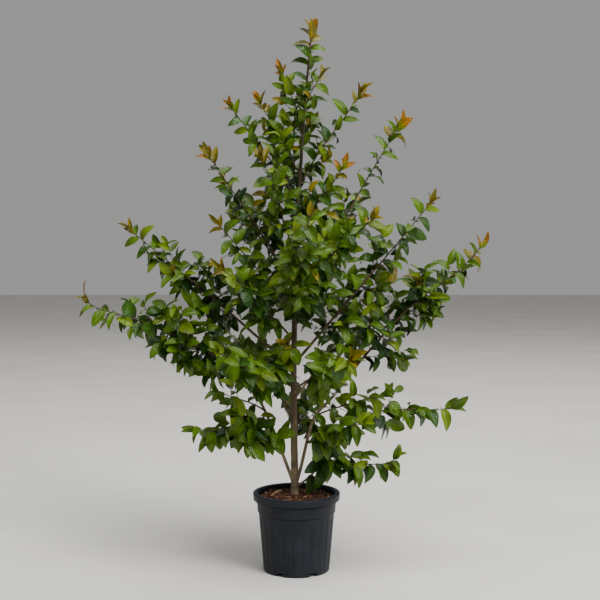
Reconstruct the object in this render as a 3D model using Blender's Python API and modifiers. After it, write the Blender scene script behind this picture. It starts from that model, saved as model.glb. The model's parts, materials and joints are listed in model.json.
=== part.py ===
"""A young photinia grown as a small tree in a ribbed nursery pot of bark compost.

Each shoot is one row of sizes in SHOOTS. Its lower part is a bough, a bare tapering limb, and the
rest is a mass of foliage on the same curve: a three-sided stem that bears twigs, and leaves on
both. The origin is the centre of the pot's flat underside, +Z is up and the widest side faces -Y.
"""

import math
import random
from collections import namedtuple

import bmesh
import bpy
import numpy as np
from mathutils import Matrix, Vector
from mathutils.bvhtree import BVHTree

# Clearance between pieces that touch, in metres
GAP = 0.0003

# Pot: radii are of the outer side
POT_HEIGHT = 0.275
POT_SIDES = 48
RIM_RADIUS = 0.155
RIM_DEPTH = 0.028
RIM_ROUND = 0.004
BAND_RADIUS = 0.1405
BAND_FOOT = 0.207
WALL_TOP_RADIUS = 0.1335
WALL_FOOT_RADIUS = 0.1175
WALL_FOOT = 0.008
UNDERSIDE_RADIUS = 0.1145
WALL = 0.003
FLOOR = 0.004
RIB_HEIGHT = 0.0016
DRAIN_HOLES = 6
DRAIN_WIDTH = 0.024
DRAIN_HEIGHT = 0.010

# Compost: it fills the pot to below the rim, is heaped round the trunk and flat under its foot,
# and has come half way down at its shoulder, a share of its radius
COMPOST_EDGE = 0.254
COMPOST_TOP = 0.267
COMPOST_FLAT_RADIUS = 0.030
COMPOST_SHOULDER = 0.65
COMPOST_SIDES = 24

# Trunk: its lean is the X of its centre line at each height, and its flare is added at the foot
TRUNK_LEAN = (
    (0.2673, -0.006),
    (0.30, -0.006),
    (0.60, -0.010),
    (0.90, -0.007),
    (1.20, 0.000),
    (1.45, 0.016),
    (1.60, 0.026),
    (1.72, 0.033),
)
TRUNK_TOP = 1.700
TRUNK_RADIUS = 0.0136
TRUNK_TIP_RADIUS = 0.0040
TRUNK_SIDES = 8
TRUNK_STEP = 0.10
FLARE = 0.0022
FLARE_HEIGHT = 0.022
FLARE_RINGS = (0.0, 0.008, 0.020, 0.040)

# Shoots: height of the foot on the parent, compass angle of the reach (0 is +X, 90 the back),
# reach and rise from foot to the furthest leaf tip, arch (under 1 leaves steeply and levels out,
# None has a course of its own), radius at the foot, and the bare share of the length that is a bough
Shoot = namedtuple("Shoot", "name parent height azimuth reach rise arch radius bare")
SHOOTS = (
    Shoot("right_stem", "trunk", 0.290, 2, 0.705, 0.897, None, 0.0064, 0.40),
    Shoot("left_stem", "trunk", 0.290, 184, 0.775, 0.720, None, 0.0064, 0.38),
    Shoot("low_right", "trunk", 0.286, 345, 0.390, 0.160, None, 0.0046, 0.20),
    Shoot("right_low", "right_stem", 0.470, 352, 0.560, 0.135, None, 0.0044, 0.22),
    Shoot("left_low", "left_stem", 0.470, 217, 0.380, 0.060, 0.70, 0.0042, 0.14),
    Shoot("front_skirt_left", "left_stem", 0.440, 236, 0.300, 0.160, 0.80, 0.0036, 0.00),
    Shoot("front_skirt_right", "right_stem", 0.445, 312, 0.330, 0.120, 0.80, 0.0038, 0.00),
    Shoot("left_skirt", "left_stem", 0.560, 222, 0.250, 0.100, 0.80, 0.0034, 0.00),
    Shoot("right_skirt", "right_stem", 0.540, 328, 0.320, 0.110, 0.80, 0.0036, 0.00),
    Shoot("back_skirt", "trunk", 0.47, 78, 0.380, 0.170, 0.80, 0.0040, 0.00),
    Shoot("back_low_left", "trunk", 0.52, 122, 0.550, 0.330, 0.80, 0.0050, 0.22),
    Shoot("front_low_left", "trunk", 0.56, 238, 0.490, 0.260, 0.75, 0.0048, 0.22),
    Shoot("back_low_right", "trunk", 0.60, 50, 0.560, 0.330, 0.85, 0.0050, 0.22),
    Shoot("front_low_right", "trunk", 0.62, 296, 0.480, 0.180, 0.75, 0.0046, 0.22),
    Shoot("front_inner", "trunk", 0.68, 262, 0.250, 0.160, 0.80, 0.0034, 0.00),
    Shoot("left_mid", "trunk", 0.71, 175, 0.625, 0.525, 0.97, 0.0056, 0.26),
    Shoot("right_mid", "trunk", 0.73, 346, 0.515, 0.600, 1.02, 0.0054, 0.24),
    Shoot("back_mid", "trunk", 0.77, 90, 0.580, 0.430, 0.85, 0.0050, 0.22),
    Shoot("front_left", "trunk", 0.80, 233, 0.430, 0.290, 0.80, 0.0044, 0.20),
    Shoot("front_mid", "trunk", 0.84, 277, 0.490, 0.430, 0.85, 0.0046, 0.20),
    Shoot("left_inner", "trunk", 0.90, 199, 0.310, 0.355, 0.90, 0.0040, 0.18),
    Shoot("back_right", "trunk", 0.92, 55, 0.460, 0.440, 0.90, 0.0044, 0.20),
    Shoot("front_right", "trunk", 0.95, 312, 0.420, 0.310, 0.85, 0.0042, 0.20),
    Shoot("right_high", "trunk", 0.97, 11, 0.415, 0.665, 1.02, 0.0046, 0.23),
    Shoot("back_left", "trunk", 0.99, 132, 0.450, 0.430, 0.90, 0.0042, 0.20),
    Shoot("left_high", "trunk", 1.01, 175, 0.340, 0.510, 1.00, 0.0042, 0.22),
    Shoot("front_high_left", "trunk", 1.12, 238, 0.250, 0.360, 0.90, 0.0034, 0.00),
    Shoot("front_high_right", "trunk", 1.16, 317, 0.245, 0.290, 0.90, 0.0032, 0.00),
    Shoot("back_high", "trunk", 1.20, 95, 0.300, 0.400, 0.90, 0.0036, 0.00),
    Shoot("left_top", "trunk", 1.31, 187, 0.265, 0.365, 0.95, 0.0034, 0.00),
    Shoot("right_top", "trunk", 1.37, 346, 0.250, 0.355, 0.95, 0.0032, 0.00),
    Shoot("left_top_inner", "trunk", 1.40, 190, 0.165, 0.295, 0.95, 0.0028, 0.00),
    Shoot("back_top", "trunk", 1.45, 85, 0.180, 0.290, 0.90, 0.0026, 0.00),
    Shoot("left_crown", "trunk", 1.55, 193, 0.095, 0.255, 0.80, 0.0023, 0.00),
    Shoot("right_crown", "trunk", 1.63, 346, 0.085, 0.165, 0.80, 0.0021, 0.00),
)
# Courses of the lowest shoots: shares of the reach and of the rise
COURSES = {
    "right_stem": (
        (0, 0), (0.028, 0.07), (0.067, 0.20), (0.10, 0.28), (0.20, 0.365), (0.36, 0.525),
        (0.59, 0.722), (0.84, 0.868), (1, 1),
    ),
    "left_stem": (
        (0, 0), (0.03, 0.09), (0.09, 0.26), (0.16, 0.43), (0.23, 0.54), (0.38, 0.66),
        (0.54, 0.75), (0.74, 0.84), (0.92, 0.90), (1, 1),
    ),
    "low_right": ((0, 0), (0.15, 0.30), (0.25, 0.54), (0.50, 0.60), (0.85, 0.66), (1, 1)),
    "right_low": ((0, 0), (0.36, 0.58), (0.55, 0.74), (0.85, 0.80), (1, 1)),
}
# The leader runs on from the trunk's tip through these points
LEADER_COURSE = ((0.052, 0.0, 1.900), (0.045, 0.0, 1.975))
# A shoot sways to each side by this much, starting at this many times its azimuth
SWAY = 0.012
SWAY_PHASE = 13
# Samples of a shoot's curve lie closer at its foot by this power
SHOOT_SAMPLES = 48
SAMPLE_POWER = 1.6
TAPER = 0.68
LIMB_SIDES = 6
LIMB_STEP = 0.090
JOINT_LENGTH = 0.008

# Stem and twigs: larger than life, as these solids have few of them
STEM_RADIUS = 0.0030
TWIG_RADIUS = 0.0027
TWIG_TIP_RADIUS = 0.0019
TWIG_SPACING = 0.080
TWIG_ZONE = 0.85
TWIG_LENGTH = 0.125
TWIG_LENGTH_AT_TIP = 0.070
TWIG_SPREAD = math.radians(55)
TWIG_SIZES = (0.85, 1.10)
TWIG_TRIALS = 4
TWIG_SHRINK = 0.15

# Leaves: larger than life for the same reason
LEAF_LENGTH = 0.138
LEAF_WIDTH = 0.074
LEAF_THICKNESS = 0.0036
LEAF_WIDEST = 0.42
LEAF_SIZES = (0.85, 1.05)
LEAF_FACES = 8
LEAF_SPACING = 0.0425
LEAF_ZONE = 0.93
LEAF_SPREAD = math.radians(60)
LEAF_DROOP = 0.80
DROOP_RANGE = (0.6, 1.3)
DROOP_AT_TIP = 0.24
END_LEAF_DROOP = 0.40
LEAF_TRIALS = 6
LEAF_SHRINK = 0.92
SKYWARD = 0.5
FACING_SPREAD = 0.5
ROOT_DEPTH = 0.014
ROOT_SHARE = 0.22
GOLDEN_ANGLE = math.radians(137.5)

# Young leaves round a shoot's tip, and the share of a full leaf that runs past the stem's end
TIP_LEAVES = 2
TIP_LENGTH = 0.095
TIP_WIDTH = 0.042
TIP_SPREAD = math.radians(38)
TIP_TURN = 0.3
TIP_RUN = 0.8

# Space of a mass: its reach to the side of its own curve, and the strip it leaves to the next one
SPACE_RADIUS = 0.165
SPACE_MARGIN = 0.004
SPACE_STEP = 0.04
CLEARANCE = 0.0012
FIRST_SEED = 100


def clear_scene():
    for thing in list(bpy.data.objects):
        bpy.data.objects.remove(thing, do_unlink=True)


def new_collection(name):
    collection = bpy.data.collections.new(name)
    bpy.context.scene.collection.children.link(collection)
    return collection


def make_material(name, color, roughness):
    material = bpy.data.materials.new(name)
    material.use_nodes = True
    shader = material.node_tree.nodes["Principled BSDF"]
    shader.inputs["Base Color"].default_value = (*color, 1.0)
    shader.inputs["Roughness"].default_value = roughness
    shader.inputs["Metallic"].default_value = 0.0
    material.diffuse_color = (*color, 1.0)
    return material


def add_object(name, mesh, collection):
    thing = bpy.data.objects.new(name, mesh)
    collection.objects.link(thing)
    return thing


def give_mesh(thing, mesh, material):
    """Puts a finished mesh with one material in place of the object's own."""
    mesh.materials.clear()
    mesh.materials.append(material)
    thing.modifiers.clear()
    thing.data = mesh


def hide_cutter(cutter):
    cutter.hide_render = True
    cutter.display_type = "WIRE"


def evaluated_mesh(thing):
    """The object's mesh with its modifiers applied."""
    bpy.context.view_layer.update()
    graph = bpy.context.evaluated_depsgraph_get()
    return bpy.data.meshes.new_from_object(thing.evaluated_get(graph), depsgraph=graph)


def welded_mesh(thing):
    """The same for a curve or a Screw, whose loose caps and seams are welded on."""
    mesh = evaluated_mesh(thing)
    shape = bmesh.new()
    shape.from_mesh(mesh)
    bmesh.ops.remove_doubles(shape, verts=shape.verts, dist=1e-6)
    bmesh.ops.recalc_face_normals(shape, faces=shape.faces)
    shape.to_mesh(mesh)
    shape.free()
    return mesh


def turned(name, profile, steps, collection, material):
    """A solid of revolution about Z from a profile of (radius, height) points."""
    mesh = bpy.data.meshes.new(name)
    points = [(radius, 0.0, height) for radius, height in profile]
    mesh.from_pydata(points, [(i, i + 1) for i in range(len(points) - 1)], [])
    thing = add_object(name, mesh, collection)
    screw = thing.modifiers.new("Turn", "SCREW")
    screw.steps = steps
    screw.render_steps = steps
    screw.use_merge_vertices = True
    screw.merge_threshold = 1e-5
    give_mesh(thing, welded_mesh(thing), material)
    return thing


def wall_radius(height):
    """Outer radius of the pot's tapering wall at a height."""
    share = (height - WALL_FOOT) / (BAND_FOOT - WALL_FOOT)
    return WALL_FOOT_RADIUS + (WALL_TOP_RADIUS - WALL_FOOT_RADIUS) * share


def inner_radius(height):
    return wall_radius(height) - WALL


def make_pot(parts, cutters):
    rim_foot = POT_HEIGHT - RIM_DEPTH
    inner_top = inner_radius(POT_HEIGHT)
    profile = (
        (0.0, FLOOR),
        (inner_radius(FLOOR) - WALL / 2, FLOOR),
        (inner_top, POT_HEIGHT - RIM_ROUND),
        (inner_top + RIM_ROUND, POT_HEIGHT),
        (RIM_RADIUS - RIM_ROUND, POT_HEIGHT),
        (RIM_RADIUS, POT_HEIGHT - RIM_ROUND),
        (RIM_RADIUS - RIM_ROUND / 2, rim_foot),
        (BAND_RADIUS, rim_foot),
        (BAND_RADIUS - RIM_ROUND / 2, BAND_FOOT),
        (WALL_TOP_RADIUS, BAND_FOOT - RIM_ROUND / 2),
        (WALL_FOOT_RADIUS, WALL_FOOT),
        (UNDERSIDE_RADIUS, 0.0),
        (0.0, 0.0),
    )
    plastic = make_material("moulded polypropylene", (0.018, 0.021, 0.025), 0.42)
    pot = turned("pot", profile, POT_SIDES, parts, plastic)
    shape_ribs(pot.data)
    for index in range(DRAIN_HOLES):
        angle = 2 * math.pi * (index + 0.5) / DRAIN_HOLES + math.pi / 2
        cut_drain_hole(pot, angle, cutters)
    pot.data.shade_smooth()
    pot.data.set_sharp_from_angle(angle=math.radians(30))
    return pot


def shape_ribs(mesh):
    """Every second edge of the outer wall is drawn in, so that those between stand out as ribs."""
    for vertex in mesh.vertices:
        radius = math.hypot(vertex.co.x, vertex.co.y)
        on_wall = WALL_FOOT - GAP < vertex.co.z < BAND_FOOT - GAP
        if not on_wall or radius < wall_radius(vertex.co.z) - WALL / 2:
            continue
        turn = math.atan2(vertex.co.y, vertex.co.x) / (2 * math.pi)
        if round(turn * POT_SIDES) % 2:
            scale = (radius - RIB_HEIGHT) / radius
            vertex.co.x *= scale
            vertex.co.y *= scale


def cut_drain_hole(pot, angle, cutters):
    """A notch through the bottom edge of the pot, from its floor to a little way up its wall."""
    bpy.ops.mesh.primitive_cube_add(size=1.0)
    block = bpy.context.object
    block.name = "drain_hole_cutter"
    length = WALL_FOOT_RADIUS - UNDERSIDE_RADIUS + WALL
    block.data.transform(Matrix.Diagonal((length, DRAIN_WIDTH, DRAIN_HEIGHT, 1.0)))
    middle = UNDERSIDE_RADIUS + length / 2 + WALL / 2
    block.location = (middle * math.cos(angle), middle * math.sin(angle), DRAIN_HEIGHT / 2 - WALL)
    block.rotation_euler.z = angle
    hide_cutter(block)
    for owner in list(block.users_collection):
        owner.objects.unlink(block)
    cutters.objects.link(block)
    cut = pot.modifiers.new("Drain hole", "BOOLEAN")
    cut.operation = "DIFFERENCE"
    cut.object = block


def make_compost(parts):
    foot = FLOOR + GAP
    profile = (
        (0.0, COMPOST_TOP),
        (COMPOST_FLAT_RADIUS, COMPOST_TOP),
        (COMPOST_SHOULDER * inner_radius(COMPOST_EDGE), (COMPOST_TOP + COMPOST_EDGE) / 2),
        (inner_radius(COMPOST_EDGE) - GAP, COMPOST_EDGE),
        (inner_radius(foot) - WALL / 2 - GAP, foot),
        (0.0, foot),
    )
    chips = make_material("bark compost", (0.075, 0.032, 0.018), 0.9)
    return turned("compost", profile, COMPOST_SIDES, parts, chips)


def smooth_through(points, samples):
    """A Catmull-Rom curve through the given points, as evenly spaced samples along it."""
    points = np.array(points, dtype=float)
    ends = np.vstack([2 * points[0] - points[1], points, 2 * points[-1] - points[-2]])
    share = np.linspace(0, 1, 12, endpoint=False)[:, None]
    rows = []
    for before, start, end, after in zip(ends, ends[1:], ends[2:], ends[3:]):
        bend = 2 * before - 5 * start + 4 * end - after
        twist = 3 * start - before - 3 * end + after
        rows.append(start + 0.5 * (share * (end - before) + share**2 * bend + share**3 * twist))
    return evenly_spaced(np.vstack(rows + [points[-1:]]), samples)


def lengths_along(path):
    steps = np.linalg.norm(np.diff(path, axis=0), axis=1)
    return np.concatenate([[0.0], np.cumsum(steps)])


def points_at(path, wanted):
    """The points of a path at the given lengths along it."""
    lengths = lengths_along(path)
    return np.column_stack([np.interp(wanted, lengths, path[:, axis]) for axis in range(3)])


def evenly_spaced(path, samples):
    return points_at(path, np.linspace(0, lengths_along(path)[-1], samples))


def stretch(path, start, end, step):
    """The part of a path between two shares of its length, with a point about every step."""
    length = lengths_along(path)[-1]
    count = max(2, round((end - start) * length / step) + 1)
    return points_at(path, np.linspace(start * length, end * length, count))


def point_and_heading(path, share):
    """The point at a share of a path's length, and the unit direction there."""
    length = lengths_along(path)[-1]
    at, step = share * length, 0.01 * length
    before, here, after = (Vector(point) for point in points_at(path, [at - step, at, at + step]))
    return here, (after - before).normalized()


def point_at_height(path, height):
    return Vector([np.interp(height, path[:, 2], path[:, axis]) for axis in range(3)])


def trunk_path():
    samples = smooth_through([(lean, 0.0, height) for height, lean in TRUNK_LEAN], 96)
    return samples[samples[:, 2] <= TRUNK_TOP]


def trunk_radius(height):
    """Even taper from soil to tip, with the root flare dying away above the soil."""
    foot = TRUNK_LEAN[0][0]
    share = (height - foot) / (TRUNK_TOP - foot)
    taper = TRUNK_RADIUS + (TRUNK_TIP_RADIUS - TRUNK_RADIUS) * share
    return taper + FLARE * math.exp(-(height - foot) / FLARE_HEIGHT)


def rise_shares(shoot, along):
    """The share of the rise at each share of the reach: its power arch, or the shoot's course."""
    if shoot.name not in COURSES:
        return along**shoot.arch
    knots = [(out, 0.0, up) for out, up in COURSES[shoot.name]]
    course = smooth_through(knots, 2 * SHOOT_SAMPLES)
    return np.interp(along, course[:, 0], course[:, 2])


def shoot_path(shoot, foot):
    """The rise follows its share of the reach, and a small sway bends the shoot to the side."""
    along = np.linspace(0, 1, SHOOT_SAMPLES) ** SAMPLE_POWER
    angle = math.radians(shoot.azimuth)
    wave = np.sin(2 * math.pi * along + SWAY_PHASE * angle)
    sway = SWAY * wave * 4 * along * (1 - along)
    out = shoot.reach * along
    path = np.column_stack([
        foot.x + out * math.cos(angle) - sway * math.sin(angle),
        foot.y + out * math.sin(angle) + sway * math.cos(angle),
        foot.z + shoot.rise * rise_shares(shoot, along),
    ])
    return evenly_spaced(path, SHOOT_SAMPLES)


def shoot_radius(shoot, share):
    return shoot.radius * (1 - TAPER * share)


def tapering_curve(name, points, radii):
    curve = bpy.data.curves.new(name, "CURVE")
    curve.dimensions = "3D"
    curve.use_fill_caps = True
    spline = curve.splines.new("POLY")
    spline.points.add(len(points) - 1)
    for target, point, radius in zip(spline.points, points, radii):
        target.co = (*point, 1.0)
        target.radius = radius
    return curve


def curve_to_solid(name, curve, collection):
    line = add_object(name + "_line", curve, collection)
    solid = welded_mesh(line)
    bpy.data.objects.remove(line, do_unlink=True)
    return add_object(name, solid, collection)


def tube(name, points, radii, sides, collection):
    """A tapering round limb with filled caps."""
    curve = tapering_curve(name, points, radii)
    curve.bevel_depth = 1.0
    curve.bevel_resolution = (sides - 4) // 2
    return curve_to_solid(name, curve, collection)


def three_sided(name, points, radii, section, collection):
    """A tapering twig of the section's shape."""
    curve = tapering_curve(name, points, radii)
    curve.bevel_mode = "OBJECT"
    curve.bevel_object = section
    return curve_to_solid(name, curve, collection)


def twig_section(cutters):
    """The section of a three-sided twig, of unit radius."""
    curve = bpy.data.curves.new("twig_section", "CURVE")
    curve.dimensions = "2D"
    spline = curve.splines.new("POLY")
    spline.points.add(2)
    for index, point in enumerate(spline.points):
        angle = 2 * math.pi * index / 3
        point.co = (math.cos(angle), math.sin(angle), 0.0, 1.0)
    spline.use_cyclic_u = True
    section = add_object("twig_section", curve, cutters)
    hide_cutter(section)
    return section


def limb_with_cutter(name, points, radii, sides, parts, cutters, bark):
    """A limb, and a copy swollen by the gap that cuts the feet of what springs from it."""
    limb = tube(name, points, radii, sides, parts)
    limb.data.materials.append(bark)
    grown = [radius + GAP for radius in radii]
    swollen = tube(name + "_cutter", points, grown, sides, cutters)
    hide_cutter(swollen)
    return limb, swollen


def make_trunk(path, parts, cutters, bark):
    """The trunk is whole, from a flat cut on the soil to near its tip."""
    foot = TRUNK_LEAN[0][0]
    heights = [foot + rise for rise in FLARE_RINGS]
    count = round((TRUNK_TOP - heights[-1]) / TRUNK_STEP)
    heights += list(np.linspace(heights[-1], TRUNK_TOP, count + 1)[1:])
    points = [point_at_height(path, height) for height in heights]
    points[1].x = points[0].x
    radii = [trunk_radius(height) for height in heights]
    return limb_with_cutter("trunk", points, radii, TRUNK_SIDES, parts, cutters, bark)


def make_bough(shoot, path, parent_cutter, parts, cutters, bark):
    """The bare lower share of a shoot, straight for its last few millimetres."""
    points = stretch(path, 0.0, shoot.bare, LIMB_STEP)
    radii = [shoot_radius(shoot, share) for share in np.linspace(0.0, shoot.bare, len(points))]
    joint, heading = point_and_heading(path, shoot.bare)
    points = np.vstack([points[:-1], joint - heading * JOINT_LENGTH, joint])
    radii.append(radii[-1])
    name = "bough_" + shoot.name
    bough, swollen = limb_with_cutter(name, points, radii, LIMB_SIDES, parts, cutters, bark)
    cut_foot(bough, parent_cutter, bark)
    return bough, swollen


def cut_foot(limb, cutter, material):
    """Cuts the limb's foot to hug its parent, and drops any scrap on the parent's far side."""
    cut = limb.modifiers.new("Foot", "BOOLEAN")
    cut.operation = "DIFFERENCE"
    cut.object = cutter
    solid = evaluated_mesh(limb)
    keep_largest_body(solid)
    give_mesh(limb, solid, material)


def keep_largest_body(mesh):
    """Fills sealed hollows and drops loose scraps, by keeping only the shell with most volume."""
    shape = bmesh.new()
    shape.from_mesh(mesh)
    unseen = set(shape.faces)
    shells = []
    while unseen:
        shell = [unseen.pop()]
        for face in shell:
            for edge in face.edges:
                for other in edge.link_faces:
                    if other in unseen:
                        unseen.remove(other)
                        shell.append(other)
        shells.append(shell)
    shells.sort(key=shell_volume)
    for shell in shells[:-1]:
        bmesh.ops.delete(shape, geom=shell, context="FACES")
    loose = [vertex for vertex in shape.verts if not vertex.link_faces]
    bmesh.ops.delete(shape, geom=loose, context="VERTS")
    bmesh.ops.triangulate(shape, faces=shape.faces)
    shape.to_mesh(mesh)
    shape.free()


def shell_volume(shell):
    """Six times the volume that a closed shell's faces enclose."""
    total = 0.0
    for face in shell:
        corners = [vertex.co for vertex in face.verts]
        for second, third in zip(corners[1:], corners[2:]):
            total += corners[0].cross(second).dot(third)
    return total


def is_closed(mesh):
    shape = bmesh.new()
    shape.from_mesh(mesh)
    closed = all(len(edge.link_faces) == 2 for edge in shape.edges)
    shape.free()
    return closed


def leaf_template():
    """A leaf of eight faces along +Z: a ball of four sides, with its ring at the widest place."""
    shape = bmesh.new()
    bmesh.ops.create_uvsphere(shape, u_segments=4, v_segments=2, radius=0.5)
    for vertex in shape.verts:
        on_ring = abs(vertex.co.z) < 0.25
        vertex.co.z = LEAF_WIDEST if on_ring else vertex.co.z + 0.5
    mesh = bpy.data.meshes.new("leaf")
    shape.to_mesh(mesh)
    shape.free()
    return mesh


def leaf_matrix(root, heading, facing, length, width):
    """Places the leaf template along its heading, with its upper side turned to facing."""
    normal = (facing - heading * facing.dot(heading)).normalized()
    turn = Matrix((normal.cross(heading), normal, heading)).transposed().to_4x4()
    return Matrix.Translation(root) @ turn @ Matrix.Diagonal((width, LEAF_THICKNESS, length, 1.0))


def across(heading, turn):
    """A unit vector at right angles to a heading, turned round it from the upward side."""
    level = heading.cross(Vector((0, 0, 1)))
    if level.length < 0.05:
        level = Vector((1, 0, 0))
    level.normalize()
    upward = level.cross(heading).normalized()
    return (upward * math.cos(turn) + level * math.sin(turn)).normalized()


def leaning(heading, turn, spread):
    """A unit vector that leans off a heading by the spread, turned round it, and its outward part."""
    outward = across(heading, turn)
    return heading * math.cos(spread) + outward * math.sin(spread), outward


def random_vector(rule):
    return Vector((rule.uniform(-1, 1), rule.uniform(-1, 1), rule.uniform(-1, 1)))


class Space:
    """The part of the crown nearer to a mass's own curve than to any other's."""

    def __init__(self, axes, own):
        self.starts = np.vstack([axis[:-1] for axis in axes])
        self.runs = np.vstack([np.diff(axis, axis=0) for axis in axes])
        owners = [index for index, axis in enumerate(axes) for _ in axis[1:]]
        self.own = np.array(owners) == own

    def holds(self, points):
        offset = np.array(points)[:, None, :] - self.starts
        share = (offset * self.runs).sum(axis=2) / (self.runs**2).sum(axis=1)
        nearest = np.clip(share, 0, 1)[:, :, None] * self.runs
        distance = np.linalg.norm(offset - nearest, axis=2)
        own = distance[:, self.own].min(axis=1)
        other = distance[:, ~self.own].min(axis=1)
        return bool(((own < SPACE_RADIUS) & (own < other - SPACE_MARGIN)).all())


def touches(points, faces, trees):
    shape = BVHTree.FromPolygons(points, faces)
    return any(shape.overlap(tree) for tree in trees)


class Mass:
    """One mass of foliage: it takes twigs and leaves, and refuses one that has no room."""

    def __init__(self, space, obstacles, leaf, section, nursery):
        self.space = space
        self.obstacles = obstacles
        self.leaf = leaf
        self.leaf_points = [vertex.co.copy() for vertex in leaf.vertices]
        self.leaf_faces = [tuple(face.vertices) for face in leaf.polygons]
        self.section = section
        self.nursery = nursery
        self.pieces = []
        self.leaf_trees = []

    def add_leaf(self, root, heading, facing, length, width):
        """Adds a leaf if it is in the mass's space, clear of all other solids and, past its root,
        of the mass's own leaves."""
        place = leaf_matrix(root, heading, facing, length, width)
        points = [place @ point for point in self.leaf_points]
        if not self.space.holds([point for point in points if (point - root).length > ROOT_DEPTH]):
            return False
        wider = 1 + 2 * CLEARANCE / width
        thicker = 1 + 2 * CLEARANCE / LEAF_THICKNESS
        grown = place @ Matrix.Diagonal((wider, thicker, 1.0, 1.0))
        around = [grown @ point for point in self.leaf_points]
        if touches(around, self.leaf_faces, self.obstacles):
            return False
        ahead = grown @ Matrix.Translation((0, 0, ROOT_SHARE))
        ahead = ahead @ Matrix.Diagonal((1.0, 1.0, 1 - ROOT_SHARE, 1.0))
        beyond_root = [ahead @ point for point in self.leaf_points]
        if touches(beyond_root, self.leaf_faces, self.leaf_trees):
            return False
        piece = bpy.data.objects.new("leaf", self.leaf)
        piece.matrix_world = place
        self.nursery.objects.link(piece)
        self.pieces.append(piece)
        self.leaf_trees.append(BVHTree.FromPolygons(points, self.leaf_faces))
        return True

    def try_leaf(self, root, heading, turn, size, droop, rule):
        """Turns a leaf's stalk round its twig, and makes it smaller, until it finds room."""
        for trial in range(LEAF_TRIALS):
            lean, outward = leaning(heading, turn + trial * GOLDEN_ANGLE, LEAF_SPREAD)
            lean.z -= droop * rule.uniform(*DROOP_RANGE)
            facing = outward + Vector((0, 0, SKYWARD)) + random_vector(rule) * FACING_SPREAD
            length, width = size * LEAF_LENGTH, size * LEAF_WIDTH
            if self.add_leaf(root, lean.normalized(), facing, length, width):
                return
            size *= LEAF_SHRINK

    def add_stem(self, points, radii):
        self.pieces.append(three_sided("stem", points, radii, self.section, self.nursery))

    def add_twig(self, root, tip):
        twig = three_sided(
            "twig", [root, tip], [TWIG_RADIUS, TWIG_TIP_RADIUS], self.section, self.nursery
        )
        points = [vertex.co.copy() for vertex in twig.data.vertices]
        faces = [tuple(face.vertices) for face in twig.data.polygons]
        if self.space.holds([tip]) and not touches(points, faces, self.obstacles):
            self.pieces.append(twig)
            return True
        bpy.data.objects.remove(twig, do_unlink=True)
        return False


def grow_mass(shoot, path, mass, rule):
    """Stem, twigs and leaves of one shoot, by the growth rule."""
    stem = grow_stem(shoot, path, mass)
    grow_tip(stem, Vector(path[-1]), mass, rule)
    grow_twigs(stem, mass, rule)
    grow_stem_leaves(stem, mass, rule)


def grow_stem(shoot, path, mass):
    """The stem starts square on its bough's tip, a gap away, or inside the trunk."""
    end = 1 - TIP_RUN * LEAF_LENGTH / lengths_along(path)[-1]
    stem = stretch(path, shoot.bare, end, LIMB_STEP)
    shares = np.linspace(shoot.bare, end, len(stem))
    radii = [max(STEM_RADIUS, shoot_radius(shoot, share)) for share in shares]
    if shoot.bare:
        joint, heading = point_and_heading(path, shoot.bare)
        foot = joint + heading * GAP
        stem = np.vstack([foot, foot + heading * JOINT_LENGTH, stem[1:]])
        radii.insert(0, radii[0])
    mass.add_stem(stem, radii)
    return stem


def grow_tip(stem, tip, mass, rule):
    """The furthest leaf runs on to the shoot's tip, with a few young ones spread round it."""
    end_point, heading = point_and_heading(stem, 1.0)
    root = end_point - heading * ROOT_DEPTH
    run = tip - root
    facing = Vector((0, -1, 1)) + random_vector(rule)
    mass.add_leaf(root, run.normalized(), facing, run.length, TIP_WIDTH)
    for index in range(TIP_LEAVES):
        turn = 2 * math.pi * (index + 0.5) / TIP_LEAVES + rule.uniform(-TIP_TURN, TIP_TURN)
        lean, outward = leaning(heading, turn, TIP_SPREAD)
        back = root - heading * ROOT_DEPTH * (index + 1)
        mass.add_leaf(back, lean, heading - outward, TIP_LENGTH, TIP_WIDTH)


def grow_twigs(stem, mass, rule):
    """Twigs turn round the stem by the golden angle and shorten towards its tip."""
    count = max(1, round(lengths_along(stem)[-1] * TWIG_ZONE / TWIG_SPACING))
    turn = rule.uniform(0, 2 * math.pi)
    for index in range(count):
        share = (index + 0.4) / count
        root, heading = point_and_heading(stem, TWIG_ZONE * share)
        length = TWIG_LENGTH + (TWIG_LENGTH_AT_TIP - TWIG_LENGTH) * share
        length *= rule.uniform(*TWIG_SIZES)
        turn += GOLDEN_ANGLE
        for trial in range(TWIG_TRIALS):
            lean = leaning(heading, turn + trial * GOLDEN_ANGLE, TWIG_SPREAD)[0]
            tip = root + lean * length * (1 - TWIG_SHRINK * trial)
            if mass.add_twig(root, tip):
                grow_twig_leaves(root, tip, mass, rule)
                break


def grow_twig_leaves(root, tip, mass, rule):
    """Leaves turn round a straight twig by the golden angle, and one runs on from its end."""
    heading = (tip - root).normalized()
    length = (tip - root).length
    count = max(1, round((length - ROOT_DEPTH) / LEAF_SPACING))
    turn = rule.uniform(0, 2 * math.pi)
    for index in range(count):
        turn += GOLDEN_ANGLE
        place = root + heading * length * (index + 0.7) / count
        mass.try_leaf(place, heading, turn, rule.uniform(*LEAF_SIZES), LEAF_DROOP, rule)
    ahead = heading - Vector((0, 0, END_LEAF_DROOP))
    facing = Vector((0, 0, 1)) + random_vector(rule) * FACING_SPREAD
    size = rule.uniform(*LEAF_SIZES)
    back = tip - heading * ROOT_DEPTH
    mass.add_leaf(back, ahead.normalized(), facing, size * LEAF_LENGTH, size * LEAF_WIDTH)


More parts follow.
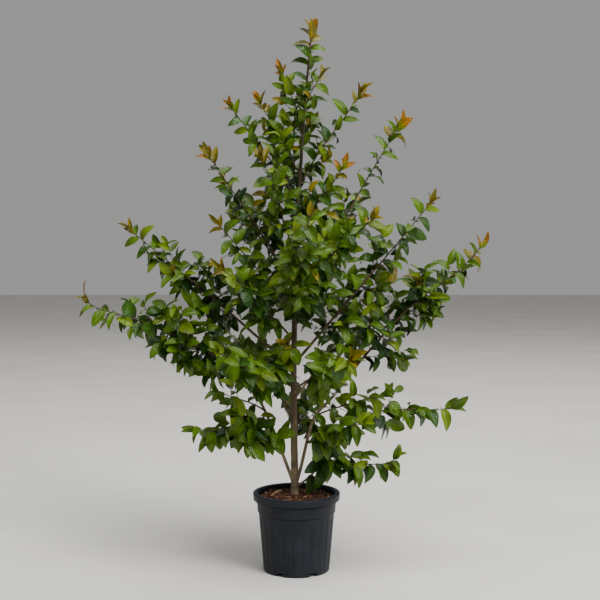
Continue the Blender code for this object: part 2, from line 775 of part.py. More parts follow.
def grow_stem_leaves(stem, mass, rule):
    """Leaves of the stem itself, nearest the tip the least drooping."""
    count = round(lengths_along(stem)[-1] / LEAF_SPACING)
    turn = rule.uniform(0, 2 * math.pi)
    for index in range(count):
        share = (index + 0.5) / count
        root, heading = point_and_heading(stem, LEAF_ZONE * share)
        turn += GOLDEN_ANGLE
        droop = LEAF_DROOP + (DROOP_AT_TIP - LEAF_DROOP) * share
        mass.try_leaf(root, heading, turn, rule.uniform(*LEAF_SIZES), droop, rule)


def fuse_mass(name, mass, parent_cutter, parts, material):
    """One Boolean union of the stem with the collection of its twigs and leaves."""
    stem, *others = mass.pieces
    mass.nursery.objects.unlink(stem)
    parts.objects.link(stem)
    stem.name = name
    union = stem.modifiers.new("Fuse", "BOOLEAN")
    union.operation = "UNION"
    union.operand_type = "COLLECTION"
    union.collection = mass.nursery
    for solver in ("EXACT", "MANIFOLD"):
        union.solver = solver
        solid = evaluated_mesh(stem)
        keep_largest_body(solid)
        if is_closed(solid) and len(solid.polygons) > LEAF_FACES * len(mass.leaf_trees):
            break
    give_mesh(stem, solid, material)
    for piece in others:
        bpy.data.objects.remove(piece, do_unlink=True)
    if parent_cutter:
        cut_foot(stem, parent_cutter, material)
    return stem


def world_tree(thing):
    """The object's surface for touch tests, as the viewport shows it."""
    bpy.context.view_layer.update()
    graph = bpy.context.evaluated_depsgraph_get()
    shown = thing.evaluated_get(graph)
    mesh = shown.to_mesh()
    points = [thing.matrix_world @ vertex.co for vertex in mesh.vertices]
    faces = [tuple(face.vertices) for face in mesh.polygons]
    shown.to_mesh_clear()
    return BVHTree.FromPolygons(points, faces)


def make_limbs(parts, cutters):
    """The trunk and the boughs, the path of every shoot, and the cutters for what they bear."""
    bark = make_material("photinia bark", (0.13, 0.085, 0.055), 0.85)
    paths = {"trunk": trunk_path()}
    trunk, swollen = make_trunk(paths["trunk"], parts, cutters, bark)
    limbs = [trunk]
    swellings = {"trunk": swollen}
    for shoot in SHOOTS:
        foot = point_at_height(paths[shoot.parent], shoot.height)
        paths[shoot.name] = shoot_path(shoot, foot)
        if shoot.bare:
            bough, swollen = make_bough(
                shoot, paths[shoot.name], swellings[shoot.parent], parts, cutters, bark
            )
            limbs.append(bough)
            swellings[shoot.name] = swollen
    foot = Vector(paths["trunk"][-1]) + Vector((0, 0, GAP))
    paths["leader"] = smooth_through((foot, *LEADER_COURSE), SHOOT_SAMPLES)
    return limbs, paths, swellings


def main():
    clear_scene()
    parts = new_collection("photinia tree")
    cutters = new_collection("cutters")
    nursery = new_collection("growing")
    solids = [make_pot(parts, cutters), make_compost(parts)]
    limbs, paths, swellings = make_limbs(parts, cutters)
    obstacles = [world_tree(solid) for solid in solids + limbs]

    green = make_material("photinia leaf", (0.045, 0.12, 0.02), 0.35)
    leaf = leaf_template()
    section = twig_section(cutters)
    leader = Shoot("leader", "trunk", TRUNK_TOP, 0, 0, 0, 1, TRUNK_TIP_RADIUS, 0.0)
    shoots = SHOOTS + (leader,)
    axes = [stretch(paths[shoot.name], shoot.bare, 1.0, SPACE_STEP) for shoot in shoots]
    for index, shoot in enumerate(shoots):
        mass = Mass(Space(axes, index), obstacles, leaf, section, nursery)
        grow_mass(shoot, paths[shoot.name], mass, random.Random(FIRST_SEED + index))
        springs_from_side = shoot is not leader and not shoot.bare
        cutter = swellings[shoot.parent] if springs_from_side else None
        solid = fuse_mass("foliage_" + shoot.name, mass, cutter, parts, green)
        obstacles.append(world_tree(solid))
    bpy.data.collections.remove(nursery)


main()
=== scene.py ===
"""Looks of a young photinia tree in a ribbed nursery pot of bark compost.

Laid out as a Blender add-on and run as a script. Every surface is worked out with numpy around the
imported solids. The shoots have the same rule and sizes as the solids, carried on to finer twigs and
to leaves of their real size.
"""

import json
import math
import random
from collections import namedtuple

import bpy
import numpy as np
from bpy.props import FloatProperty, FloatVectorProperty, IntProperty, PointerProperty
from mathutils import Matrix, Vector

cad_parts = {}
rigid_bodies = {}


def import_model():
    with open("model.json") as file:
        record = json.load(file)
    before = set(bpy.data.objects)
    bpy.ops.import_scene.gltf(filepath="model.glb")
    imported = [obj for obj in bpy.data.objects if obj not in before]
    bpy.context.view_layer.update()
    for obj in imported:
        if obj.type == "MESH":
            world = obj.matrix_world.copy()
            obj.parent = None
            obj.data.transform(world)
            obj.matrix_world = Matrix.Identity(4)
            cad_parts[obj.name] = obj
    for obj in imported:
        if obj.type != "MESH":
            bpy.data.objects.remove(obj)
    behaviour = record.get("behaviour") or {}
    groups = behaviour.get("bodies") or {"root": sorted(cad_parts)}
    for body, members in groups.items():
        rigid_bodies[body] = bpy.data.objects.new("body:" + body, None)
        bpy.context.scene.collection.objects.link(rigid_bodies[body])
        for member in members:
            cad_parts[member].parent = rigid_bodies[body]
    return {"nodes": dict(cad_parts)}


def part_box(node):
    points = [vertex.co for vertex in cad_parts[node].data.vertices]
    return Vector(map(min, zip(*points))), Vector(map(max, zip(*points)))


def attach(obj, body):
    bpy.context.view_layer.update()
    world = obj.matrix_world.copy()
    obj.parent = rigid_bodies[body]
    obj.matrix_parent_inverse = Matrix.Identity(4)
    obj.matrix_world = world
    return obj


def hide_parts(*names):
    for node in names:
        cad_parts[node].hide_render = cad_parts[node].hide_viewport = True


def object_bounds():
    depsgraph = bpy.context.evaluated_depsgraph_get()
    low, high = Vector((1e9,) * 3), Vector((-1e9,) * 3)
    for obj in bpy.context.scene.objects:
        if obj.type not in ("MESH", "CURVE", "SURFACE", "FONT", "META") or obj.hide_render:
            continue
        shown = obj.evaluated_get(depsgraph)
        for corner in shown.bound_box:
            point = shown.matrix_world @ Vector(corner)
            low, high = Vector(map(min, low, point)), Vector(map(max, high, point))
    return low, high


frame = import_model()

bl_info = {
    "name": "Potted photinia tree",
    "version": (1, 0, 0),
    "blender": (4, 5, 0),
    "location": "3D View > Sidebar > Photinia",
    "description": "Builds the looks of a young photinia in a nursery pot",
    "category": "Object",
}

CAD_BOX = [list(map(float, corner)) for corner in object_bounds()]
BOX_MARGIN = 0.004
MM = 0.001
RANDOM_SEED = 100

# Pot and compost, in metres, within 2 mm of the solids
POT_HEIGHT = float(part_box("pot")[1].z)
RIM_RADIUS = float(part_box("pot")[1].x)
RIM_DEPTH = 0.026
BAND_RADIUS = 0.1420
BAND_TAPER = 0.0030
BAND_FOOT = 0.207
WALL_TOP_RADIUS = 0.1352
WALL_FOOT_RADIUS = 0.1175
WALL_FOOT = 0.008
UNDERSIDE_RADIUS = 0.1145
WALL = 0.003
RIBS = 24
RIB_HEIGHT = 0.0016
DRAIN_HOLES = 6
DRAIN_WIDTH = 0.024
DRAIN_HEIGHT = 0.010
COMPOST_EDGE = 0.254
COMPOST_TOP = 0.267
COMPOST_FLAT_RADIUS = 0.030

# Trunk and shoots, by the same rule and sizes as the solids
TRUNK_LEAN = (
    (0.2673, -0.006),
    (0.30, -0.006),
    (0.60, -0.010),
    (0.90, -0.007),
    (1.20, 0.000),
    (1.45, 0.016),
    (1.60, 0.026),
    (1.72, 0.033),
)
TRUNK_TOP = 1.700
TRUNK_RADIUS = 0.0136
TRUNK_TIP_RADIUS = 0.0040
FLARE = 0.0022
FLARE_HEIGHT = 0.022

Shoot = namedtuple("Shoot", "name parent height azimuth reach rise arch radius bare")
SHOOTS = (
    Shoot("right_stem", "trunk", 0.290, 2, 0.705, 0.897, None, 0.0064, 0.40),
    Shoot("left_stem", "trunk", 0.290, 184, 0.775, 0.720, None, 0.0064, 0.38),
    Shoot("low_right", "trunk", 0.286, 345, 0.390, 0.160, None, 0.0046, 0.20),
    Shoot("right_low", "right_stem", 0.470, 352, 0.560, 0.135, None, 0.0044, 0.22),
    Shoot("left_low", "left_stem", 0.470, 217, 0.380, 0.060, 0.70, 0.0042, 0.14),
    Shoot("front_skirt_left", "left_stem", 0.440, 236, 0.300, 0.160, 0.80, 0.0036, 0.00),
    Shoot("front_skirt_right", "right_stem", 0.445, 312, 0.330, 0.120, 0.80, 0.0038, 0.00),
    Shoot("left_skirt", "left_stem", 0.560, 222, 0.250, 0.100, 0.80, 0.0034, 0.00),
    Shoot("right_skirt", "right_stem", 0.540, 328, 0.320, 0.110, 0.80, 0.0036, 0.00),
    Shoot("back_skirt", "trunk", 0.47, 78, 0.380, 0.170, 0.80, 0.0040, 0.00),
    Shoot("back_low_left", "trunk", 0.52, 122, 0.550, 0.330, 0.80, 0.0050, 0.22),
    Shoot("front_low_left", "trunk", 0.56, 238, 0.490, 0.260, 0.75, 0.0048, 0.22),
    Shoot("back_low_right", "trunk", 0.60, 50, 0.560, 0.330, 0.85, 0.0050, 0.22),
    Shoot("front_low_right", "trunk", 0.62, 296, 0.480, 0.180, 0.75, 0.0046, 0.22),
    Shoot("front_inner", "trunk", 0.68, 262, 0.250, 0.160, 0.80, 0.0034, 0.00),
    Shoot("left_mid", "trunk", 0.71, 175, 0.625, 0.525, 0.97, 0.0056, 0.26),
    Shoot("right_mid", "trunk", 0.73, 346, 0.515, 0.600, 1.02, 0.0054, 0.24),
    Shoot("back_mid", "trunk", 0.77, 90, 0.580, 0.430, 0.85, 0.0050, 0.22),
    Shoot("front_left", "trunk", 0.80, 233, 0.430, 0.290, 0.80, 0.0044, 0.20),
    Shoot("front_mid", "trunk", 0.84, 277, 0.490, 0.430, 0.85, 0.0046, 0.20),
    Shoot("left_inner", "trunk", 0.90, 199, 0.310, 0.355, 0.90, 0.0040, 0.18),
    Shoot("back_right", "trunk", 0.92, 55, 0.460, 0.440, 0.90, 0.0044, 0.20),
    Shoot("front_right", "trunk", 0.95, 312, 0.420, 0.310, 0.85, 0.0042, 0.20),
    Shoot("right_high", "trunk", 0.97, 11, 0.415, 0.665, 1.02, 0.0046, 0.23),
    Shoot("back_left", "trunk", 0.99, 132, 0.450, 0.430, 0.90, 0.0042, 0.20),
    Shoot("left_high", "trunk", 1.01, 175, 0.340, 0.510, 1.00, 0.0042, 0.22),
    Shoot("front_high_left", "trunk", 1.12, 238, 0.250, 0.360, 0.90, 0.0034, 0.00),
    Shoot("front_high_right", "trunk", 1.16, 317, 0.245, 0.290, 0.90, 0.0032, 0.00),
    Shoot("back_high", "trunk", 1.20, 95, 0.300, 0.400, 0.90, 0.0036, 0.00),
    Shoot("left_top", "trunk", 1.31, 187, 0.265, 0.365, 0.95, 0.0034, 0.00),
    Shoot("right_top", "trunk", 1.37, 346, 0.250, 0.355, 0.95, 0.0032, 0.00),
    Shoot("left_top_inner", "trunk", 1.40, 190, 0.165, 0.295, 0.95, 0.0028, 0.00),
    Shoot("back_top", "trunk", 1.45, 85, 0.180, 0.290, 0.90, 0.0026, 0.00),
    Shoot("left_crown", "trunk", 1.55, 193, 0.095, 0.255, 0.80, 0.0023, 0.00),
    Shoot("right_crown", "trunk", 1.63, 346, 0.085, 0.165, 0.80, 0.0021, 0.00),
)
COURSES = {
    "right_stem": (
        (0, 0), (0.028, 0.07), (0.067, 0.20), (0.10, 0.28), (0.20, 0.365), (0.36, 0.525),
        (0.59, 0.722), (0.84, 0.868), (1, 1),
    ),
    "left_stem": (
        (0, 0), (0.03, 0.09), (0.09, 0.26), (0.16, 0.43), (0.23, 0.54), (0.38, 0.66),
        (0.54, 0.75), (0.74, 0.84), (0.92, 0.90), (1, 1),
    ),
    "low_right": ((0, 0), (0.15, 0.30), (0.25, 0.54), (0.50, 0.60), (0.85, 0.66), (1, 1)),
    "right_low": ((0, 0), (0.36, 0.58), (0.55, 0.74), (0.85, 0.80), (1, 1)),
}
LEADER_COURSE = ((0.052, 0.0, 1.900), (0.045, 0.0, 1.975))
SWAY = 0.012
SWAY_PHASE = 13
SHOOT_SAMPLES = 48
SAMPLE_POWER = 1.6
TAPER = 0.68
GOLDEN_ANGLE = math.radians(137.5)

# Growth of the real plant: leaves and twigs of their own size
STEM_TIP_RADIUS = 0.0011
# A stem ends this share of a young leaf's length below the tip of its solid
TIP_LEAF_SHARE = 0.9
TWIG_RADIUS = 0.0015
TWIG_TIP_RADIUS = 0.0006
FINE_TWIG_RADIUS = 0.0010
TWIG_SPREAD = math.radians(46)
TWIG_BEND = 0.30
TWIG_WANDER = 0.14
TIP_RUN = 0.145
SHORT_TIP_RUN = 0.33
# Stems that lead the outline: the length at the tip that bears leaves but no twigs, and how far
# the tip has lost its bronze
LEADING_TIPS = {
    "right_high": (0.34, 0.0),
    "left_high": (0.26, 0.0),
    "right_top": (0.22, 0.0),
    "leader": (0.25, 0.0),
    "right_stem": (TIP_RUN, 0.0),
    "left_stem": (TIP_RUN, 0.0),
    "right_low": (TIP_RUN, 0.60),
    "front_low_right": (TIP_RUN, 0.20),
}
# Young leaves at other tips are this share of the size of those at leading tips
SMALL_TIP = 0.72
# Stems that stay in sight: below their tip they bear nothing that points further forward
OPEN_STEMS = {"right_stem": -0.55, "right_mid": -0.55, "right_high": -0.55, "left_high": -0.55,
              "left_stem": -0.88, "left_mid": -0.88}
# Shoots that can be seen through: the space between their twigs and leaves is widened
LOOSE_SHOOTS = {"back_low_right": 1.8, "right_skirt": 1.1, "right_low": 1.35, "leader": 0.72,
                "right_high": 0.8, "left_stem": 0.8, "right_stem": 0.85, "left_mid": 0.9}
# Random seeds of the shoots whose tips are to fall as in the photo
OTHER_SEEDS = {"leader": 203, "left_stem": 301, "left_mid": 301, "right_mid": 312,
               "right_high": 313, "right_stem": 313, "left_high": 323, "right_top": 323,
               "left_top": 323}
CLEAR_FOOT = 0.12
# Shoots whose leaves start nearer to their foot, or further from it, as a share of their length
LEAFY_FEET = {"low_right": 0.18, "right_mid": 0.12, "front_mid": 0.10}
SHORTEST_TWIG = 0.035
TWIG_GAIN = 0.34
# Distance below a tip over which the space between a stem's leaves grows by one spacing
SHEDDING = 0.32
LOW_CROWN = 0.50
HIGH_CROWN = 1.45
FAR_OUT = 0.55
SPACE_RADIUS = 0.165
SPACE_OVERLAP = 0.030
SPACE_STEP = 0.04
LEAF_KINDS = ("dark", "mid", "fresh", "lime", "olive", "bronze")

# Rows and columns of one leaf: the stalk is the first row
LEAF_ROWS = np.array([-0.15, 0.0, 0.10, 0.25, 0.42, 0.60, 0.78, 0.91, 1.0])
LEAF_COLUMNS = np.array([-1.0, -0.5, 0.0, 0.5, 1.0])
STALK_WIDTH = 0.045
BASE_POWER = 0.60
TIP_POWER = 0.82
# Leaves at the crown's foot are broader than at its top
LOW_BREADTH = 1.18

# Photo camera: level, its horizon 39 of 600 pixels above the middle of the frame
CAMERA_PLACE = (0.0125, -3.71, 1.097)
CAMERA_FOCUS_PIXELS = 1040
HORIZON_PIXELS = 39
FRAME_PIXELS = 600
SENSOR_MM = 36.0


def hex_color(text):
    """An sRGB hex colour as linear red, green and blue."""
    values = [int(text[at:at + 2], 16) / 255 for at in (1, 3, 5)]
    return tuple(v / 12.92 if v <= 0.04045 else ((v + 0.055) / 1.055) ** 2.4 for v in values)


class PotSizes(bpy.types.PropertyGroup):
    """Fineness and colours of the pot and its compost."""

    turns: IntProperty(
        name="Pot columns", description="Columns of the pot's surface round its axis",
        default=480, min=96, max=768,
    )
    chips: IntProperty(
        name="Bark chips", description="Loose chips that lie on the compost",
        default=1100, min=0, max=3000,
    )
    chip_size: FloatProperty(
        name="Chip size", description="Mean length of a chip",
        default=0.012, unit="LENGTH",
    )
    # The plastic's blue tint is partly its own colour and partly painted reflection of the sky
    plastic: FloatVectorProperty(
        name="Plastic", description="Colour of the moulded pot",
        default=hex_color("#1B1E24"), subtype="COLOR",
    )
    bark_chip: FloatVectorProperty(
        name="Bark chip", description="Colour of a moist chip",
        default=hex_color("#60402E"), subtype="COLOR",
    )
    pale_chip: FloatVectorProperty(
        name="Pale chip", description="Colour of a chip that shows its inner wood",
        default=hex_color("#B0906C"), subtype="COLOR",
    )


class WoodSizes(bpy.types.PropertyGroup):
    """Relief and colours of the trunk, boughs and twigs."""

    relief: FloatProperty(
        name="Bark relief", description="Height of the bark's wrinkles",
        default=0.00045, unit="LENGTH",
    )
    # The foot is paler partly with dust and partly with painted light against the shade of the pot's rim
    bark_foot: FloatVectorProperty(
        name="Bark at the foot", description="Colour of the bark at the trunk's foot, paled by dust and painted light",
        default=hex_color("#94866F"), subtype="COLOR",
    )
    bark: FloatVectorProperty(
        name="Bark", description="Colour of the lower trunk's bark, which darkens upwards",
        default=hex_color("#6A5C45"), subtype="COLOR",
    )
    twig: FloatVectorProperty(
        name="Twig", description="Colour of young twigs",
        default=hex_color("#422E1E"), subtype="COLOR",
    )


class LeafSizes(bpy.types.PropertyGroup):
    """Number, sizes and colours of the leaves."""

    length: FloatProperty(
        name="Leaf length", description="Mean length of a grown leaf's blade",
        default=0.066, unit="LENGTH",
    )
    width: FloatProperty(
        name="Leaf width", description="Mean width of a grown leaf's blade",
        default=0.035, unit="LENGTH",
    )
    young_length: FloatProperty(
        name="Young leaf length", description="Mean length of a leaf at a shoot's tip",
        default=0.063, unit="LENGTH",
    )
    young_width: FloatProperty(
        name="Young leaf width", description="Mean width of a leaf at a shoot's tip",
        default=0.027, unit="LENGTH",
    )
    growing: FloatProperty(
        name="Growing length", description="Distance below a tip at which leaves are fully grown",
        default=0.050, unit="LENGTH",
    )
    stem_spacing: FloatProperty(
        name="Spacing on stems", description="Distance between leaves along a stem",
        default=0.0160, unit="LENGTH",
    )
    twig_spacing: FloatProperty(
        name="Spacing on twigs", description="Distance between leaves along a twig",
        default=0.0185, unit="LENGTH",
    )
    twig_step: FloatProperty(
        name="Twig step", description="Distance between twigs along a stem",
        default=0.038, unit="LENGTH",
    )
    twig_length: FloatProperty(
        name="Twig length", description="Greatest length of a twig",
        default=0.135, unit="LENGTH",
    )
    fold: FloatProperty(
        name="Fold", description="Angle that each half of a grown leaf is folded up from the midrib",
        default=math.radians(29), subtype="ANGLE",
    )
    curl: FloatProperty(
        name="Curl", description="Angle that a grown leaf bends down from stalk to tip",
        default=math.radians(55), subtype="ANGLE",
    )
    spread: FloatProperty(
        name="Leaf spread", description="Angle between a grown leaf and its twig",
        default=math.radians(56), subtype="ANGLE",
    )
    dark: FloatVectorProperty(
        name="Dark leaf", description="Old leaves inside the crown",
        default=hex_color("#1B360A"), subtype="COLOR",
    )
    mid: FloatVectorProperty(
        name="Green leaf", description="Grown leaves",
        default=hex_color("#2A480B"), subtype="COLOR",
    )
    fresh: FloatVectorProperty(
        name="Fresh leaf", description="Leaves of this summer",
        default=hex_color("#425D08"), subtype="COLOR",
    )
    lime: FloatVectorProperty(
        name="Lime leaf", description="Leaves that have just grown out",
        default=hex_color("#5A6F0A"), subtype="COLOR",
    )
    olive: FloatVectorProperty(
        name="Olive leaf", description="Leaves that turn from bronze to green",
        default=hex_color("#685E08"), subtype="COLOR",
    )
    bronze: FloatVectorProperty(
        name="Bronze leaf", description="Young leaves at the shoots' tips",
        default=hex_color("#805408"), subtype="COLOR",
    )


def give_mesh(name, points, quads, triangles, material, uv=None, smooth=True):
    """One mesh object at the origin, from whole arrays of points and faces."""
    mesh = bpy.data.meshes.new(name)
    loops = np.concatenate([np.asarray(quads, int).ravel(), np.asarray(triangles, int).ravel()])
    sizes = np.concatenate([np.full(len(quads), 4), np.full(len(triangles), 3)]).astype(int)
    mesh.vertices.add(len(points))
    mesh.vertices.foreach_set("co", np.asarray(points, np.float32).ravel())
    mesh.loops.add(len(loops))
    mesh.loops.foreach_set("vertex_index", loops.astype(np.int32))
    mesh.polygons.add(len(sizes))
    starts = np.concatenate([[0], np.cumsum(sizes)[:-1]])
    mesh.polygons.foreach_set("loop_start", starts.astype(np.int32))
    mesh.polygons.foreach_set("use_smooth", np.full(len(sizes), smooth))
    if uv is not None:
        layer = mesh.uv_layers.new(name="UVMap")
        layer.data.foreach_set("uv", np.asarray(uv, np.float32)[loops].ravel())
    mesh.update(calc_edges=True)
    mesh.validate()
    mesh.materials.append(material)
    thing = bpy.data.objects.new(name, mesh)
    bpy.context.scene.collection.objects.link(thing)
    return thing


def grid_quads(rows, columns, wrap):
    """Quads between neighbouring rows and columns of a grid, closed round its columns or not."""
    row, column = np.meshgrid(np.arange(rows - 1), np.arange(columns if wrap else columns - 1),
                              indexing="ij")
    after = (column + 1) % columns
    return np.stack([row * columns + column, row * columns + after,
                     (row + 1) * columns + after, (row + 1) * columns + column], -1).reshape(-1, 4)


def add_node(tree, kind, settings=None, links=None):
    """Adds a node, sets its values and sockets, and links its sockets to other nodes' outputs."""
    node = tree.nodes.new(kind)
    for key, value in (settings or {}).items():
        if isinstance(key, str) and hasattr(node, key):
            setattr(node, key, value)
        else:
            node.inputs[key].default_value = value
    for key, (source, output) in (links or {}).items():
        tree.links.new(source.outputs[output], node.inputs[key])
    return node


def new_material(name, color, roughness, specular=0.5):
    material = bpy.data.materials.new(name)
    material.use_nodes = True
    shader = material.node_tree.nodes["Principled BSDF"]
    shader.inputs["Base Color"].default_value = (*color, 1)
    shader.inputs["Roughness"].default_value = roughness
    shader.inputs["Specular IOR Level"].default_value = specular
    return material, material.node_tree, shader


def color_ramp(tree, source, output, stops):
    """A ramp from (place, colour) stops, driven by another node's output."""
    ramp = add_node(tree, "ShaderNodeValToRGB", links={"Fac": (source, output)})
    elements = ramp.color_ramp.elements
    while len(elements) < len(stops):
        elements.new(0.5)
    for element, (place, color) in zip(elements, stops):
        element.position = place
        element.color = (*color, 1)
    return ramp


def shaded(color, share):
    return tuple(value * share for value in color)


def plastic_material(color):
    """Polypropylene, injection moulded: charcoal, satin, with fine mould grain and faint dust. A
    dark line under the lip and another under the band are painted shade."""
    material, tree, shader = new_material("moulded polypropylene", color, 0.42, 0.14)
    place = add_node(tree, "ShaderNodeTexCoord")
    dust = add_node(tree, "ShaderNodeTexNoise", {"Scale": 14.0, "Detail": 6.0},
                    {"Vector": (place, "Object")})
    tint = color_ramp(tree, dust, "Fac", ((0.35, color), (0.75, shaded(color, 1.7))))
    split = add_node(tree, "ShaderNodeSeparateXYZ", links={"Vector": (place, "Object")})
    rise = add_node(tree, "ShaderNodeMath", {"operation": "DIVIDE", 1: POT_HEIGHT},
                    {0: (split, "Z")})
    lip_foot = POT_HEIGHT - RIM_DEPTH
    # Painted shade: the colour drops to 0.35 just under the band and to 0.25 just under the lip
    stops = ((BAND_FOOT - 0.0050, 1.0), (BAND_FOOT - 0.0030, 0.35), (BAND_FOOT, 0.35),
             (BAND_FOOT + 0.0015, 1.0), (lip_foot - 0.0085, 1.0), (lip_foot - 0.0055, 0.25),
             (lip_foot + 0.0010, 0.25), (lip_foot + 0.0030, 1.0))
    painted_shade_lines = color_ramp(tree, rise, "Value",
                       [(height / POT_HEIGHT, (share,) * 3) for height, share in stops])
    with_painted_shade = add_node(tree, "ShaderNodeMix",
                     {"data_type": "RGBA", "blend_type": "MULTIPLY", "Factor": 1.0},
                     {6: (tint, "Color"), 7: (painted_shade_lines, "Color")})
    tree.links.new(with_painted_shade.outputs[2], shader.inputs["Base Color"])
    rough = add_node(tree, "ShaderNodeMapRange", {"To Min": 0.34, "To Max": 0.55},
                     {"Value": (dust, "Fac")})
    tree.links.new(rough.outputs["Result"], shader.inputs["Roughness"])
    # Mould grain is about 0.3 mm and is drawn at 1 mm so that it shows
    grain = add_node(tree, "ShaderNodeTexNoise", {"Scale": 1 / MM, "Detail": 2.0},
                     {"Vector": (place, "Object")})
    bump = add_node(tree, "ShaderNodeBump", {"Strength": 0.12, "Distance": 0.0004},
                    {"Height": (grain, "Fac")})
    tree.links.new(bump.outputs["Normal"], shader.inputs["Normal"])
    return material


def compost_material(color):
    """Moist bark fines between the chips: dark, partly their own colour and partly painted shade
    between the chips, rough and crumbly at about 3 mm.
    """
    material, tree, shader = new_material("moist bark fines", color, 0.95, 0.25)
    place = add_node(tree, "ShaderNodeTexCoord")
    crumbs = add_node(tree, "ShaderNodeTexVoronoi", {"Scale": 1 / (4 * MM)},
                      {"Vector": (place, "Object")})
    tint = color_ramp(tree, crumbs, "Distance",
                      ((0.1, shaded(color, 0.9)), (0.7, shaded(color, 0.25))))
    tree.links.new(tint.outputs["Color"], shader.inputs["Base Color"])
    bump = add_node(tree, "ShaderNodeBump", {"Strength": 0.8, "Distance": 0.002},
                    {"Height": (crumbs, "Distance")})
    tree.links.new(bump.outputs["Normal"], shader.inputs["Normal"])
    return material


def chip_material(name, color):
    """Pine bark, milled and screened: layered, rough, with fibres about 1 mm apart."""
    material, tree, shader = new_material(name, color, 0.85, 0.3)
    place = add_node(tree, "ShaderNodeTexCoord")
    fibre = add_node(tree, "ShaderNodeTexNoise", {"Scale": 1 / (3 * MM), "Detail": 5.0},
                     {"Vector": (place, "Object")})
    patch = add_node(tree, "ShaderNodeTexNoise", {"Scale": 1 / (18 * MM), "Detail": 2.0},
                     {"Vector": (place, "Object")})
    mixed = add_node(tree, "ShaderNodeMath", {"operation": "MULTIPLY"})
    tree.links.new(fibre.outputs["Fac"], mixed.inputs[0])
    tree.links.new(patch.outputs["Fac"], mixed.inputs[1])
    tint = color_ramp(tree, mixed, "Value",
                      ((0.12, shaded(color, 0.3)), (0.26, color), (0.40, shaded(color, 2.1))))
    tree.links.new(tint.outputs["Color"], shader.inputs["Base Color"])
    bump = add_node(tree, "ShaderNodeBump", {"Strength": 0.6, "Distance": 0.001},
                    {"Height": (fibre, "Fac")})
    tree.links.new(bump.outputs["Normal"], shader.inputs["Normal"])
    return material


def bark_material(name, stops, roughness):
    """Young bark: matte cork in patches of 22 mm, with pale pores a few millimetres apart. Its
    colour runs up the plant through stops of (height, colour)."""
    material, tree, shader = new_material(name, stops[0][1], roughness, 0.30)
    place = add_node(tree, "ShaderNodeTexCoord")
    split = add_node(tree, "ShaderNodeSeparateXYZ", links={"Vector": (place, "Object")})
    rise = add_node(tree, "ShaderNodeMath", {"operation": "DIVIDE", 1: stops[-1][0]},
                    {0: (split, "Z")})
    color = color_ramp(tree, rise, "Value",
                       [(height / stops[-1][0], shade) for height, shade in stops])
    patches = add_node(tree, "ShaderNodeTexNoise", {"Scale": 1 / (22 * MM), "Detail": 6.0},
                       {"Vector": (place, "Object")})
    tone = color_ramp(tree, patches, "Fac",
                      ((0.30, (0.55,) * 3), (0.50, (1.0,) * 3), (0.72, (1.6,) * 3)))
    pores = add_node(tree, "ShaderNodeTexVoronoi", {"Scale": 1 / (5 * MM)},
                     {"Vector": (place, "Object")})
    pale = color_ramp(tree, pores, "Distance", ((0.10, (1, 1, 1)), (0.22, (0, 0, 0))))
    spotted = add_node(tree, "ShaderNodeMix", {"data_type": "RGBA", 7: (1.9, 1.9, 1.9, 1)},
                       {"Factor": (pale, "Color"), 6: (tone, "Color")})
    tint = add_node(tree, "ShaderNodeMix",
                    {"data_type": "RGBA", "blend_type": "MULTIPLY", "Factor": 1.0},
                    {6: (color, "Color"), 7: (spotted, 2)})
    tree.links.new(tint.outputs[2], shader.inputs["Base Color"])
    wrinkles = add_node(tree, "ShaderNodeTexNoise", {"Scale": 1 / (3 * MM), "Detail": 4.0},
                        {"Vector": (place, "Object")})
    bump = add_node(tree, "ShaderNodeBump", {"Strength": 0.5, "Distance": 0.0006},
                    {"Height": (wrinkles, "Fac")})
    tree.links.new(bump.outputs["Normal"], shader.inputs["Normal"])
    return material


